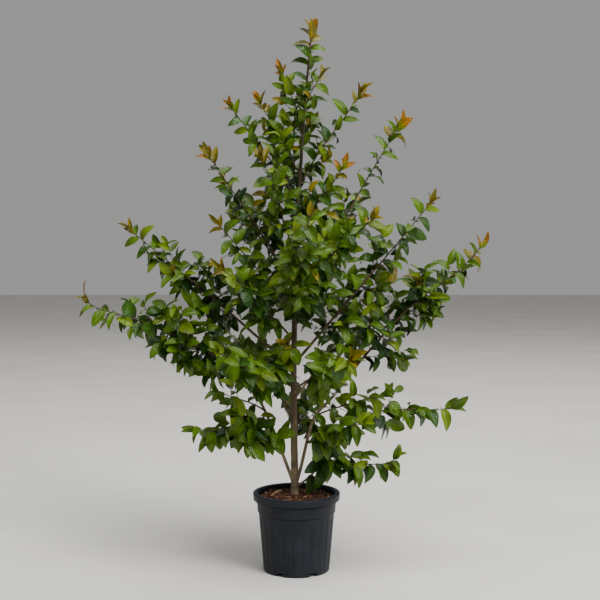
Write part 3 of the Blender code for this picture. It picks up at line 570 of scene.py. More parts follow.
def leaf_material(name, foot, color, roughness):
    """Leathery leaf: waxed and glossy above, puckered at about 11 mm, with a pale midrib and side
    veins about 8 mm apart. U runs across the blade and V along it, so the veins follow each leaf
    and its colour turns from that of its foot to that of its tip."""
    material, tree, shader = new_material(name, color, roughness, 0.24)
    place = add_node(tree, "ShaderNodeTexCoord")
    split = add_node(tree, "ShaderNodeSeparateXYZ", links={"Vector": (place, "UV")})
    turned = color_ramp(tree, split, "Y", ((0.15, foot), (0.65, color)))
    patches = add_node(tree, "ShaderNodeTexNoise", {"Scale": 1 / (45 * MM), "Detail": 4.0},
                       {"Vector": (place, "Object")})
    tone = color_ramp(tree, patches, "Fac",
                      ((0.32, (0.62,) * 3), (0.50, (1.0,) * 3), (0.70, (1.35,) * 3)))
    off = add_node(tree, "ShaderNodeMath", {"operation": "SUBTRACT", 1: 0.5}, {0: (split, "X")})
    away = add_node(tree, "ShaderNodeMath", {"operation": "ABSOLUTE"}, {0: (off, "Value")})
    rib = color_ramp(tree, away, "Value", ((0.015, (1, 1, 1)), (0.05, (0, 0, 0))))
    slant = add_node(tree, "ShaderNodeMath", {"operation": "MULTIPLY_ADD", 1: -0.55},
                     {0: (away, "Value"), 2: (split, "Y")})
    waves = add_node(tree, "ShaderNodeMath", {"operation": "MULTIPLY", 1: 52.0},
                     {0: (slant, "Value")})
    vein = add_node(tree, "ShaderNodeMath", {"operation": "SINE"}, {0: (waves, "Value")})
    pale = add_node(tree, "ShaderNodeMath", {"operation": "MULTIPLY_ADD", 1: 0.22, 2: 1.0},
                    {0: (vein, "Value")})
    ribbed = add_node(tree, "ShaderNodeMix", {"data_type": "RGBA", 7: (1.6, 1.6, 1.6, 1)},
                      {"Factor": (rib, "Color"), 6: (pale, "Value")})
    shade = add_node(tree, "ShaderNodeMix",
                     {"data_type": "RGBA", "blend_type": "MULTIPLY", "Factor": 1.0},
                     {6: (tone, "Color"), 7: (ribbed, 2)})
    tint = add_node(tree, "ShaderNodeMix",
                    {"data_type": "RGBA", "blend_type": "MULTIPLY", "Factor": 1.0},
                    {6: (turned, "Color"), 7: (shade, 2)})
    tree.links.new(tint.outputs[2], shader.inputs["Base Color"])
    pucker = add_node(tree, "ShaderNodeTexNoise", {"Scale": 1 / (11 * MM), "Detail": 1.0},
                      {"Vector": (place, "Object")})
    relief = add_node(tree, "ShaderNodeMath", {"operation": "MULTIPLY_ADD", 1: 6.0},
                      {0: (pucker, "Fac"), 2: (vein, "Value")})
    bump = add_node(tree, "ShaderNodeBump", {"Strength": 0.5, "Distance": 0.0008},
                    {"Height": (relief, "Value")})
    tree.links.new(bump.outputs["Normal"], shader.inputs["Normal"])
    return material


def wall_radius(height):
    """Outer radius of the pot's tapering wall at a height."""
    share = (height - WALL_FOOT) / (BAND_FOOT - WALL_FOOT)
    return WALL_FOOT_RADIUS + (WALL_TOP_RADIUS - WALL_FOOT_RADIUS) * share


def arc(center, radius, start, end, steps):
    """Points of (radius, height) on a circle's arc, from one angle in degrees to another."""
    angles = np.radians(np.linspace(start, end, steps))
    return np.column_stack([center[0] + radius * np.cos(angles), center[1] + radius * np.sin(angles)])


def pot_profile():
    """The pot's outline from its inner wall over the rim and down its outer side to the underside:
    a rolled rim, a step, a plain band, a ledge and the tapering wall. Kinds mark the wall rows."""
    rim_foot = POT_HEIGHT - RIM_DEPTH
    round_radius = 0.0045
    inner = wall_radius(POT_HEIGHT) - WALL
    rim = RIM_RADIUS
    lip = 0.0022
    wall_heights = np.concatenate([np.linspace(BAND_FOOT - 0.004, 0.022, 18),
                                   np.linspace(0.018, 0.0015, 12)])
    wall = np.column_stack([wall_radius(wall_heights), wall_heights])
    pieces = [
        np.array([[wall_radius(0.236) - WALL, 0.236], [inner - 0.0004, POT_HEIGHT - 0.008]]),
        arc((inner + round_radius, POT_HEIGHT - round_radius), round_radius, 180, 90, 7),
        arc((rim - round_radius, POT_HEIGHT - round_radius), round_radius, 90, 0, 8),
        np.array([[rim - 0.0004, POT_HEIGHT - 0.012], [rim - 0.0010, rim_foot + lip * 1.6]]),
        arc((rim - 0.0012 - lip, rim_foot + lip), lip, 0, -90, 5),
        np.array([[BAND_RADIUS + 0.004, rim_foot + 0.0006], [BAND_RADIUS + 0.0008, rim_foot]]),
        np.array([[BAND_RADIUS, rim_foot - 0.002],
                  [BAND_RADIUS - BAND_TAPER, BAND_FOOT + 0.006]]),
        arc((BAND_RADIUS - BAND_TAPER - 0.0015, BAND_FOOT + 0.0015), 0.0015, 0, -80, 5),
        np.array([[WALL_TOP_RADIUS + 0.0004, BAND_FOOT - 0.0008]]),
        wall,
        np.array([[wall_radius(0.0) - 0.0012, 0.0004], [UNDERSIDE_RADIUS - 0.002, 0.0],
                  [0.07, 0.0], [0.04, 0.0]]),
    ]
    rows = np.vstack(pieces)
    kinds = np.concatenate([np.full(len(p), index == 9) for index, p in enumerate(pieces)])
    return rows, kinds


def pot_surface(columns):
    """Radius over angle and row: the profile, with ribs raised on the wall as a rounded square
    wave of the angle, and six recesses pressed in at the foot for the drain holes."""
    rows, on_wall = pot_profile()
    angles = np.linspace(0, 2 * math.pi, columns, endpoint=False)
    radius = np.repeat(rows[:, :1], columns, axis=1)
    height = np.repeat(rows[:, 1:], columns, axis=1)
    wave = np.tanh(7.0 * (np.cos(RIBS * angles) + 0.5)) * 0.5 - 0.5
    top = np.clip((BAND_FOOT - 0.010 - height) / 0.010, 0, 1)
    bottom = np.clip((height - 0.012) / 0.010, 0, 1)
    ribs = RIB_HEIGHT * wave[None, :] * top * bottom * on_wall[:, None]
    step = 2 * math.pi / DRAIN_HOLES
    nearest = np.abs((angles - math.pi / 2 - step / 2 + step / 2) % step - step / 2)
    across = nearest * WALL_FOOT_RADIUS
    notch = 1 / (1 + np.exp((across - DRAIN_WIDTH / 2) / 0.0005))
    low = 1 / (1 + np.exp((height - DRAIN_HEIGHT) / 0.0006))
    dent = 0.030 * notch[None, :] * low * (radius > UNDERSIDE_RADIUS - 0.004)
    radius = radius + ribs - dent
    return np.stack([radius * np.cos(angles), radius * np.sin(angles), height], -1)


def close_grid(points, columns):
    """Adds a pole under the last row of a turned grid, and the fan of triangles round it."""
    rows = len(points) // columns
    pole = points[-columns:].mean(axis=0)
    last = (rows - 1) * columns + np.arange(columns)
    after = (rows - 1) * columns + (np.arange(columns) + 1) % columns
    fan = np.column_stack([last, after, np.full(columns, len(points))])
    return np.vstack([points, pole]), fan


def compost_height(x, y):
    """Height of the compost: a low mound with waves a few centimetres and a few millimetres long."""
    radius = np.hypot(x, y)
    edge = wall_radius(COMPOST_EDGE) - WALL
    mound = COMPOST_TOP - (COMPOST_TOP - COMPOST_EDGE) * np.clip(
        (radius - COMPOST_FLAT_RADIUS) / (edge - COMPOST_FLAT_RADIUS), 0, 1) ** 1.4
    swell = 0.0016 * np.sin(61 * x + 1.3) * np.cos(53 * y + 0.4)
    crumble = 0.0009 * np.sin(310 * x + 190 * y) * np.sin(270 * y - 140 * x + 2.0)
    calm = np.clip((radius - 0.02) / 0.02, 0, 1)
    return mound - 0.0012 + (swell + crumble) * calm


def block_chips(centers, lengths, turns, tilts, rule):
    """Flat six-sided chips: a unit box whose corners are pushed about, stretched to the chip's
    length, width and thickness, then tilted and turned, all as whole arrays."""
    count = len(centers)
    corners = np.array([[x, y, z] for z in (-1, 1) for y in (-1, 1) for x in (-1, 1)], float)
    shape = corners[None] * (1 + rule.uniform(-0.45, 0.25, (count, 8, 3)))
    size = np.column_stack([lengths, lengths * rule.uniform(0.4, 0.75, count),
                            lengths * rule.uniform(0.12, 0.28, count)]) / 2
    shape *= size[:, None, :]
    c, s = np.cos(tilts), np.sin(tilts)
    x, y, z = shape[..., 0], shape[..., 1], shape[..., 2]
    x, z = x * c[:, None] + z * s[:, None], z * c[:, None] - x * s[:, None]
    c, s = np.cos(turns), np.sin(turns)
    x, y = x * c[:, None] - y * s[:, None], x * s[:, None] + y * c[:, None]
    points = np.stack([x, y, z], -1) + centers[:, None, :]
    faces = np.array([[0, 2, 3, 1], [4, 5, 7, 6], [0, 1, 5, 4], [2, 6, 7, 3], [0, 4, 6, 2],
                      [1, 3, 7, 5]])
    quads = faces[None] + 8 * np.arange(count)[:, None, None]
    return points.reshape(-1, 3), quads.reshape(-1, 4)


def smooth_through(points, samples):
    """A Catmull-Rom curve through the given points, as evenly spaced samples along it."""
    points = np.array(points, dtype=float)
    ends = np.vstack([2 * points[0] - points[1], points, 2 * points[-1] - points[-2]])
    share = np.linspace(0, 1, 12, endpoint=False)[:, None]
    rows = []
    for before, start, end, after in zip(ends, ends[1:], ends[2:], ends[3:]):
        bend = 2 * before - 5 * start + 4 * end - after
        twist = 3 * start - before - 3 * end + after
        rows.append(start + 0.5 * (share * (end - before) + share**2 * bend + share**3 * twist))
    return evenly_spaced(np.vstack(rows + [points[-1:]]), samples)


def lengths_along(path):
    steps = np.linalg.norm(np.diff(path, axis=0), axis=1)
    return np.concatenate([[0.0], np.cumsum(steps)])


def points_at(path, wanted):
    """The points of a path at the given lengths along it."""
    lengths = lengths_along(path)
    return np.column_stack([np.interp(wanted, lengths, path[:, axis]) for axis in range(3)])


def evenly_spaced(path, samples):
    return points_at(path, np.linspace(0, lengths_along(path)[-1], samples))


def share_of(path, start, end, samples):
    """The part of a path between two shares of its length."""
    length = lengths_along(path)[-1]
    return points_at(path, np.linspace(start * length, end * length, samples))


def point_and_heading(path, share):
    """The point at a share of a path's length, and the unit direction there."""
    length = lengths_along(path)[-1]
    at, step = share * length, 0.01 * length
    before, here, after = (Vector(point) for point in points_at(path, [at - step, at, at + step]))
    return here, (after - before).normalized()


def point_at_height(path, height):
    return np.array([np.interp(height, path[:, 2], path[:, axis]) for axis in range(3)])


def trunk_path():
    samples = smooth_through([(lean, 0.0, height) for height, lean in TRUNK_LEAN], 96)
    return samples[samples[:, 2] <= TRUNK_TOP]


def trunk_radius(height):
    """Even taper from soil to tip, with the root flare dying away above the soil."""
    foot = TRUNK_LEAN[0][0]
    share = (height - foot) / (TRUNK_TOP - foot)
    taper = TRUNK_RADIUS + (TRUNK_TIP_RADIUS - TRUNK_RADIUS) * share
    return taper + FLARE * np.exp(-(height - foot) / FLARE_HEIGHT)


def rise_shares(shoot, along):
    """The share of the rise at each share of the reach: its power arch, or the shoot's course."""
    if shoot.name not in COURSES:
        return along**shoot.arch
    knots = [(out, 0.0, up) for out, up in COURSES[shoot.name]]
    course = smooth_through(knots, 2 * SHOOT_SAMPLES)
    return np.interp(along, course[:, 0], course[:, 2])


def shoot_path(shoot, foot):
    """The rise follows its share of the reach, and a small sway bends the shoot to the side."""
    along = np.linspace(0, 1, SHOOT_SAMPLES) ** SAMPLE_POWER
    angle = math.radians(shoot.azimuth)
    wave = np.sin(2 * math.pi * along + SWAY_PHASE * angle)
    sway = SWAY * wave * 4 * along * (1 - along)
    out = shoot.reach * along
    path = np.column_stack([
        foot[0] + out * math.cos(angle) - sway * math.sin(angle),
        foot[1] + out * math.sin(angle) + sway * math.cos(angle),
        foot[2] + shoot.rise * rise_shares(shoot, along),
    ])
    return evenly_spaced(path, SHOOT_SAMPLES)


def all_paths():
    """The paths of the trunk and of every shoot, by name."""
    paths = {"trunk": trunk_path()}
    for shoot in SHOOTS:
        foot = point_at_height(paths[shoot.parent], shoot.height)
        paths[shoot.name] = shoot_path(shoot, foot)
    paths["leader"] = smooth_through((paths["trunk"][-1], *LEADER_COURSE), SHOOT_SAMPLES)
    return paths


def tubes(centers, radii, sides, relief=None):
    """Round limbs with closed ends, as whole arrays. centers is limbs by points by 3 and radii is
    limbs by points. Each ring lies square to the line: centre + radius times (side cos + up sin),
    where side is the line's direction crossed with one fixed direction for each limb."""
    limbs, count = radii.shape
    run = np.gradient(centers, axis=1)
    run /= np.linalg.norm(run, axis=2, keepdims=True)
    chord = centers[:, -1] - centers[:, 0]
    chord /= np.linalg.norm(chord, axis=1, keepdims=True)
    fixed = np.where(np.abs(chord[:, 2:]) > 0.8, [[1.0, 0.0, 0.0]], [[0.0, 0.0, 1.0]])
    side = np.cross(run, fixed[:, None, :])
    side /= np.linalg.norm(side, axis=2, keepdims=True)
    up = np.cross(side, run)
    angles = np.linspace(0, 2 * math.pi, sides, endpoint=False)
    radius = np.repeat(radii[:, :, None], sides, axis=2)
    if relief is not None:
        radius = radius + relief(centers, angles, radius)
    ring = (side[:, :, None] * np.cos(angles)[:, None] + up[:, :, None] * np.sin(angles)[:, None])
    points = (centers[:, :, None] + ring * radius[..., None]).reshape(limbs, -1, 3)
    ends = np.stack([centers[:, 0], centers[:, -1]], 1)
    points = np.concatenate([points, ends], axis=1)
    size = count * sides + 2
    quads = grid_quads(count, sides, True)[:, ::-1]
    column = np.arange(sides)
    after = (column + 1) % sides
    last = (count - 1) * sides
    foot = np.column_stack([column, after, np.full(sides, size - 2)])
    tip = np.column_stack([last + after, last + column, np.full(sides, size - 1)])
    fans = np.vstack([foot, tip])
    shift = size * np.arange(limbs)[:, None, None]
    return (points.reshape(-1, 3), (quads[None] + shift).reshape(-1, 4),
            (fans[None] + shift).reshape(-1, 3))


def bark_relief(height):
    """Relief of young bark over the limb's surface: long upright wrinkles, plus a low ring at each
    old leaf scar, every 42 mm along the limb. It dies away on thin limbs."""
    def relief(centers, angles, radius):
        step = np.linalg.norm(np.diff(centers, axis=1), axis=2)
        along = np.concatenate([np.zeros((len(centers), 1)), np.cumsum(step, axis=1)], axis=1)
        s = along[:, :, None]
        a = angles[None, None, :]
        wrinkles = (np.sin(5 * a + 21 * s + 2 * np.sin(37 * s)) + np.sin(9 * a - 33 * s)
                    + 0.7 * np.sin(3 * a + 160 * s) + 0.5 * np.sin(13 * a + 90 * s)) / 3
        scar = np.exp(-(((s + 0.004 * np.sin(a + 50 * s)) % 0.042 - 0.021) / 0.0024) ** 2)
        grown = np.clip(radius / TRUNK_RADIUS, 0.15, 1.0)
        return height * grown * (wrinkles + 1.1 * scar)
    return relief


Leaf = namedtuple("Leaf", "root heading facing length width fold curl kind")
Twig = namedtuple("Twig", "points radius tip_radius")


def across(heading, turn):
    """A unit vector at right angles to a heading, turned round it from the upward side."""
    level = heading.cross(Vector((0, 0, 1)))
    if level.length < 0.05:
        level = Vector((1, 0, 0))
    level.normalize()
    upward = level.cross(heading).normalized()
    return (upward * math.cos(turn) + level * math.sin(turn)).normalized()


def leaning(heading, turn, spread):
    """A unit vector that leans off a heading by the spread, and its outward part."""
    outward = across(heading, turn)
    return heading * math.cos(spread) + outward * math.sin(spread), outward


def random_vector(rule):
    return Vector((rule.uniform(-1, 1), rule.uniform(-1, 1), rule.uniform(-1, 1)))


def blend(start, end, share):
    return start + (end - start) * share


def height_share(point):
    """0 at the foot of the crown and 1 in its upper part."""
    return min(1.0, max(0.0, (point.z - LOW_CROWN) / (HIGH_CROWN - LOW_CROWN)))


def sun_share(point):
    """How much sun a tip gets: 0 at the foot of the crown, most at its top and its far ends."""
    high = height_share(point)
    far = min(1.0, math.hypot(point.x, point.y) / FAR_OUT)
    return high * max(high, far**2)


def tip_size(name):
    """Size of the young leaves at a shoot's tip, as a share of that at the leading tips."""
    return 1.0 if name in LEADING_TIPS else SMALL_TIP


class Growth:
    """Grows one shoot's finer twigs and its leaves, and gathers them in lists. Rank 0 is the
    shoot's own stem, 1 a twig on it and 2 a twig on that."""

    def __init__(self, sizes, rule, name):
        self.sizes = sizes
        self.rule = rule
        self.widening = LOOSE_SHOOTS.get(name, 1.0)
        self.tip_size = tip_size(name)
        self.front = OPEN_STEMS.get(name, -1.1)
        self.twigs = []
        self.leaves = []

    def tone(self, age):
        """Green of one spray: the older wood near the trunk has more dark leaves."""
        draw = self.rule.random() + 0.30 * age
        return "dark" if draw < 0.34 else "mid" if draw < 0.86 else "fresh"

    def tint(self, tone, away, rank, sun, vigour):
        """Colour of one leaf, from its distance to the growing tip, from its spray's green, and
        near a stem's tip from how sunny and how vigorous that stem is."""
        draw = self.rule.random()
        if rank == 0:
            if away < 0.030:
                return ("bronze" if draw < 0.85 and vigour < 0.40 * sun**2 else
                        "olive" if vigour < 1.25 * sun else "lime" if draw < 0.4 else "fresh")
            if away < 0.060:
                return ("olive" if vigour < 0.16 * sun and draw < 0.6 else
                        "lime" if draw < 0.55 else "fresh")
            if away < 0.12:
                return "lime" if draw < 0.08 else "fresh" if draw < 0.55 else "mid"
            return tone
        if away < 0.016:
            return ("olive" if draw < 0.12 * sun else
                    "lime" if draw < 0.12 + 0.35 * sun else "fresh")
        if away < 0.045:
            return ("lime" if draw < 0.02 + 0.12 * sun else
                    "fresh" if draw < 0.24 + 0.34 * sun else tone)
        return tone

    def leaf(self, root, ahead, turn, away, rank, tone, vigour):
        """One leaf: upright, slim and folded near the tip, spread, broad and drooping below it.
        It turns its upper side up and away from the trunk."""
        rule, sizes = self.rule, self.sizes
        grown = min(1.0, away / sizes.growing + (0.45 if rank else 0.0))
        spread = blend(0.45, 1.0, grown) * sizes.spread * rule.uniform(0.75, 1.2)
        lean, outward = leaning(ahead, turn, spread)
        droop = blend(1.20, 0.10, height_share(root)) * rule.uniform(0.45, 1.35)
        lean.z += blend(0.25, -droop, grown)
        heading = lean.normalized()
        away_from_trunk = Vector((root.x, root.y, 0.0)).normalized()
        light = away_from_trunk * 0.5 + Vector((0, -0.85, 0.75)) + outward * 0.2
        facing = blend(ahead - outward * 0.6, light, 0.55 + 0.45 * grown)
        facing += random_vector(rule) * (0.62 if rank else 0.38)
        size = blend(1.12, 0.88 if rank else 1.10, height_share(root))
        size *= rule.triangular(0.60, 1.30, 1.0) if rank else rule.uniform(0.80, 1.15)
        size *= 1.0 if rank else blend(self.tip_size, 1.0, grown)
        length = blend(sizes.young_length, sizes.length, grown) * size
        headroom = CAD_BOX[1][2] - BOX_MARGIN - root.z
        width = blend(sizes.young_width, sizes.width, grown) * size * rule.uniform(0.88, 1.12)
        self.leaves.append(Leaf(
            root, heading, facing,
            min(length, 0.98 * headroom / max(0.1, heading.z)),
            width * blend(LOW_BREADTH, 1.0, height_share(root)),
            blend(0.55, sizes.fold, grown) * rule.uniform(0.4, 1.6),
            blend(0.20, sizes.curl, grown) * rule.uniform(0.3, 1.7),
            self.tint(tone, away, rank, sun_share(root), vigour),
        ))

    def leafy_run(self, place, length, start, spacing, rank, tone, vigour=None):
        """Leaves along a stem or twig, from its tip downwards: close at the tip, then spacing
        apart and further down ever sparser, each the golden angle round from the one before."""
        rule = self.rule
        turn = rule.uniform(0, 2 * math.pi)
        vigour = rule.random() if vigour is None else vigour
        away = 0.001
        while away < length - start:
            root, ahead = place(length - away)
            if rank or away < 0.30 or across(ahead, turn).y > self.front:
                self.leaf(root, ahead, turn, away, rank, tone(away), vigour)
            turn += GOLDEN_ANGLE
            gap = blend(0.35, 1.0, min(1.0, away / self.sizes.growing)) + away / SHEDDING
            away += gap * spacing * self.widening * rule.uniform(0.8, 1.2)

    def twig(self, root, heading, length, age, rank):
        """A twig that bends up to the light, its leaves and, if it is long, finer twigs."""
        rule, sizes = self.rule, self.sizes
        bend = (Vector((0, 0, TWIG_BEND)) + random_vector(rule) * TWIG_WANDER) * length

        def place(along):
            share = along / length
            return (root + heading * along + bend * share**2,
                    (heading * length + bend * 2 * share).normalized())

        points = [place(length * share)[0] for share in (0.0, 0.25, 0.5, 0.75, 1.0)]
        self.twigs.append(Twig(points, TWIG_RADIUS if rank == 1 else FINE_TWIG_RADIUS,
                               TWIG_TIP_RADIUS))
        tone = self.tone(age)
        self.leafy_run(place, length, 0.010, sizes.twig_spacing, rank, lambda away: tone)
        if rank == 1 and length > 0.07:
            side = rule.uniform(0, 2 * math.pi)
            for share in (0.30, 0.55):
                start, ahead = place(length * share)
                side += math.pi * rule.uniform(0.8, 1.2)
                lean = leaning(ahead, side, TWIG_SPREAD)[0].normalized()
                self.twig(start, lean, length * (1 - share) * rule.uniform(0.6, 0.9), age, 2)

    def shoot(self, path, start, tip_run, vigour):
        """Twigs and leaves along a stem, from a share of its length to its tip. The last tip_run
        of it bears leaves only."""
        rule, sizes = self.rule, self.sizes
        whole = lengths_along(path)[-1]
        length = whole - TIP_LEAF_SHARE * sizes.young_length * self.tip_size
        tones = [self.tone(0.5) for _ in range(16)]

        def place(along):
            return point_and_heading(path, along / whole)

        self.leafy_run(place, length, start * whole, sizes.stem_spacing, 0,
                       lambda away: tones[min(15, int(away / 0.08))], vigour)
        away = tip_run * rule.uniform(0.9, 1.1)
        turn = rule.uniform(0, 2 * math.pi)
        while away < length - start * whole:
            root, ahead = place(length - away)
            reach = min(sizes.twig_length, SHORTEST_TWIG + TWIG_GAIN * (away - tip_run))
            reach *= rule.uniform(0.80, 1.15)
            lean, outward = leaning(ahead, turn, TWIG_SPREAD * rule.uniform(0.8, 1.2))
            if outward.y > self.front:
                self.twig(root, lean.normalized(), reach, 1 - min(1.0, away / 0.7), 1)
            turn += GOLDEN_ANGLE
            away += sizes.twig_step * self.widening * rule.uniform(0.8, 1.2)


def leaf_blade(leaves):
    """Every leaf of a list as one array of points. A blade is a grid over u, across it, and v,
    along it. Its half width is proportional to v^BASE_POWER (1 - v)^TIP_POWER, it is folded up
    along the midrib, and it bends down evenly, so that v runs along a circular arc."""
    root, heading, facing = (np.array([getattr(leaf, key) for leaf in leaves])
                             for key in ("root", "heading", "facing"))
    length, width, fold, curl = (np.array([getattr(leaf, key) for leaf in leaves])[:, None, None]
                                 for key in ("length", "width", "fold", "curl"))
    normal = facing - heading * (facing * heading).sum(axis=1, keepdims=True)
    normal /= np.linalg.norm(normal, axis=1, keepdims=True)
    side = np.cross(heading, normal)
    v = LEAF_ROWS[None, :, None]
    u = LEAF_COLUMNS[None, None, :]
    inside = np.clip(v, 0, 1)
    outline = inside**BASE_POWER * (1 - inside) ** TIP_POWER
    widest = BASE_POWER / (BASE_POWER + TIP_POWER)
    peak = widest**BASE_POWER * (1 - widest) ** TIP_POWER
    half = np.maximum(outline / peak, np.where(v < 0.5, STALK_WIDTH, 0.0)) * width / 2
    bend = curl * np.clip(v, -0.2, 1)
    along = length * np.sin(bend) / curl
    drop = length * (1 - np.cos(bend)) / curl
    ripple = 0.02 * length * np.sin(9 * v + 40 * root[:, :1, None]) * u**2 * (v > 0)
    x = half * u * np.cos(fold)
    z = np.abs(half * u) * np.sin(fold) - drop + ripple
    points = (root[:, None, None, :] + side[:, None, None] * x[..., None]
              + heading[:, None, None] * (along + 0 * u)[..., None]
              + normal[:, None, None] * z[..., None])
    rows, columns = len(LEAF_ROWS), len(LEAF_COLUMNS)
    quads = grid_quads(rows, columns, False)
    quads = quads[None] + rows * columns * np.arange(len(leaves))[:, None, None]
    uv = np.stack(np.meshgrid((LEAF_COLUMNS + 1) / 2, inside[0, :, 0]), -1).reshape(-1, 2)
    return points.reshape(len(leaves), -1, 3), quads.reshape(-1, 4), np.tile(uv, (len(leaves), 1))


class Space:
    """The part of the crown nearer to a shoot's own curve than to any other's."""

    def __init__(self, axes):
        self.starts = np.vstack([axis[:-1] for axis in axes])
        self.runs = np.vstack([np.diff(axis, axis=0) for axis in axes])
        self.owners = np.array([index for index, axis in enumerate(axes) for _ in axis[1:]])

    def holds(self, points, own):
        """Whether each point is in reach of its own curve, and not far into another's space."""
        offset = points[:, None, :] - self.starts
        share = (offset * self.runs).sum(axis=2) / (self.runs**2).sum(axis=1)
        nearest = np.clip(share, 0, 1)[:, :, None] * self.runs
        distance = np.linalg.norm(offset - nearest, axis=2)
        mine = distance[:, self.owners == own].min(axis=1)
        other = distance[:, self.owners != own].min(axis=1)
        return (mine < SPACE_RADIUS) & (mine < other + SPACE_OVERLAP)


def inside_box(points):
    low, high = np.array(CAD_BOX[0]) + BOX_MARGIN, np.array(CAD_BOX[1]) - BOX_MARGIN
    low[2] = POT_HEIGHT - 0.03
    return ((points > low) & (points < high)).all(axis=-1)


def grow_crown(sizes):
    """All twigs and leaves, shoot by shoot, that keep to their space and to the crown's box."""
    paths = all_paths()
    leader = Shoot("leader", "trunk", TRUNK_TOP, 0, 0, 0, 1, TRUNK_TIP_RADIUS, 0.0)
    shoots = SHOOTS + (leader,)
    axes = []
    for shoot in shoots:
        length = lengths_along(paths[shoot.name])[-1]
        count = max(2, round((1 - shoot.bare) * length / SPACE_STEP) + 1)
        axes.append(share_of(paths[shoot.name], shoot.bare, 1.0, count))
    space = Space(axes)
    twigs, leaves = [], []
    for index, shoot in enumerate(shoots):
        seed = OTHER_SEEDS.get(shoot.name, RANDOM_SEED + index)
        growth = Growth(sizes, random.Random(seed), shoot.name)
        start = LEAFY_FEET.get(shoot.name, max(shoot.bare, CLEAR_FOOT))
        short = SHORT_TIP_RUN * lengths_along(paths[shoot.name])[-1]
        tip_run, vigour = LEADING_TIPS.get(shoot.name, (min(TIP_RUN, short), None))
        growth.shoot(paths[shoot.name], start, tip_run, vigour)
        tips = np.array([twig.points[-1] for twig in growth.twigs]).reshape(-1, 3)
        kept = space.holds(tips, index) & inside_box(tips)
        twigs += [twig for twig, keep in zip(growth.twigs, kept) if keep]
        tips = np.array([leaf.root + leaf.heading * leaf.length for leaf in growth.leaves])
        mids = np.array([leaf.root + leaf.heading * leaf.length / 2 for leaf in growth.leaves])
        blades = leaf_blade(growth.leaves)[0]
        kept = space.holds(tips, index) & space.holds(mids, index)
        kept &= inside_box(blades).all(axis=1)
        leaves += [leaf for leaf, keep in zip(growth.leaves, kept) if keep]
    return paths, shoots, twigs, leaves


def finish_piece(thing, slot, *nodes):
    """The piece rides with the plant and stands for its nodes. The slot is not used."""
    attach(thing, "root")
    if nodes:
        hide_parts(*nodes)
    return thing


def node_names(start):
    return sorted(name for name in frame["nodes"] if name.startswith(start))


class BuildStage(bpy.types.Operator):
    """Pale floor, soft studio light and the camera at the photo's angle"""

    bl_idname = "photinia.build_stage"
    bl_label = "Stage and camera"

    def execute(self, context):
        scene = context.scene
        floor_material, tree, shader = new_material("painted floor", hex_color("#D8D5CF"), 0.9, 0.2)
        place = add_node(tree, "ShaderNodeTexCoord")
        mottle = add_node(tree, "ShaderNodeTexNoise", {"Scale": 1.5}, {"Vector": (place, "Object")})
        tint = color_ramp(tree, mottle, "Fac",
                          ((0.3, hex_color("#D3D0CA")), (0.7, hex_color("#DCD9D4"))))
        tree.links.new(tint.outputs["Color"], shader.inputs["Base Color"])
        side = 30.0
        points = [(-side, -side, 0), (side, -side, 0), (side, side, 0), (-side, side, 0)]
        floor = give_mesh("floor", points, [[0, 1, 2, 3]], np.zeros((0, 3), int), floor_material)

        world = bpy.data.worlds.new("studio")
        world.use_nodes = True
        world.node_tree.nodes["Background"].inputs["Color"].default_value = (0.95, 0.95, 0.94, 1)
        world.node_tree.nodes["Background"].inputs["Strength"].default_value = 0.35
        scene.world = world
        self.add_light("key", (6.2, -6.2, 7.6), 4.5, 950, (1.0, 0.97, 0.92))
        self.add_light("top", (1.4, -2.6, 8.6), 5.5, 880, (0.97, 0.99, 1.0))
        self.add_light("back", (1.5, 5.0, 9.0), 5.0, 240, (1.0, 1.0, 1.0))

        data = bpy.data.cameras.new("camera")
        data.sensor_width = SENSOR_MM
        data.lens = SENSOR_MM * CAMERA_FOCUS_PIXELS / FRAME_PIXELS
        data.shift_y = -HORIZON_PIXELS / FRAME_PIXELS
        camera = bpy.data.objects.new("camera", data)
        camera.location = CAMERA_PLACE
        camera.rotation_euler = (math.pi / 2, 0, 0)
        scene.collection.objects.link(camera)
        scene.camera = camera
        return {"FINISHED"}

    def add_light(self, name, place, size, power, color):
        data = bpy.data.lights.new(name, "AREA")
        data.size = size
        data.energy = power
        data.color = color
        light = bpy.data.objects.new(name, data)
        light.location = place
        aim = Vector((0, 0, 1.0)) - Vector(place)
        light.rotation_euler = aim.to_track_quat("-Z", "Y").to_euler()
        bpy.context.scene.collection.objects.link(light)


class BuildPot(bpy.types.Operator):
    """Ribbed pot with a rolled rim, and its drain holes"""

    bl_idname = "photinia.build_pot"
    bl_label = "Pot"

    def execute(self, context):
        sizes = context.scene.photinia_pot
        surface = pot_surface(sizes.turns)
        rows, columns = surface.shape[:2]
        points, fan = close_grid(surface.reshape(-1, 3), columns)
        quads = grid_quads(rows, columns, True)
        pot = give_mesh("pot_shell", points, quads[:, ::-1], fan[:, ::-1],
                        plastic_material(tuple(sizes.plastic)))
        finish_piece(pot, "pot", "pot")
        return {"FINISHED"}


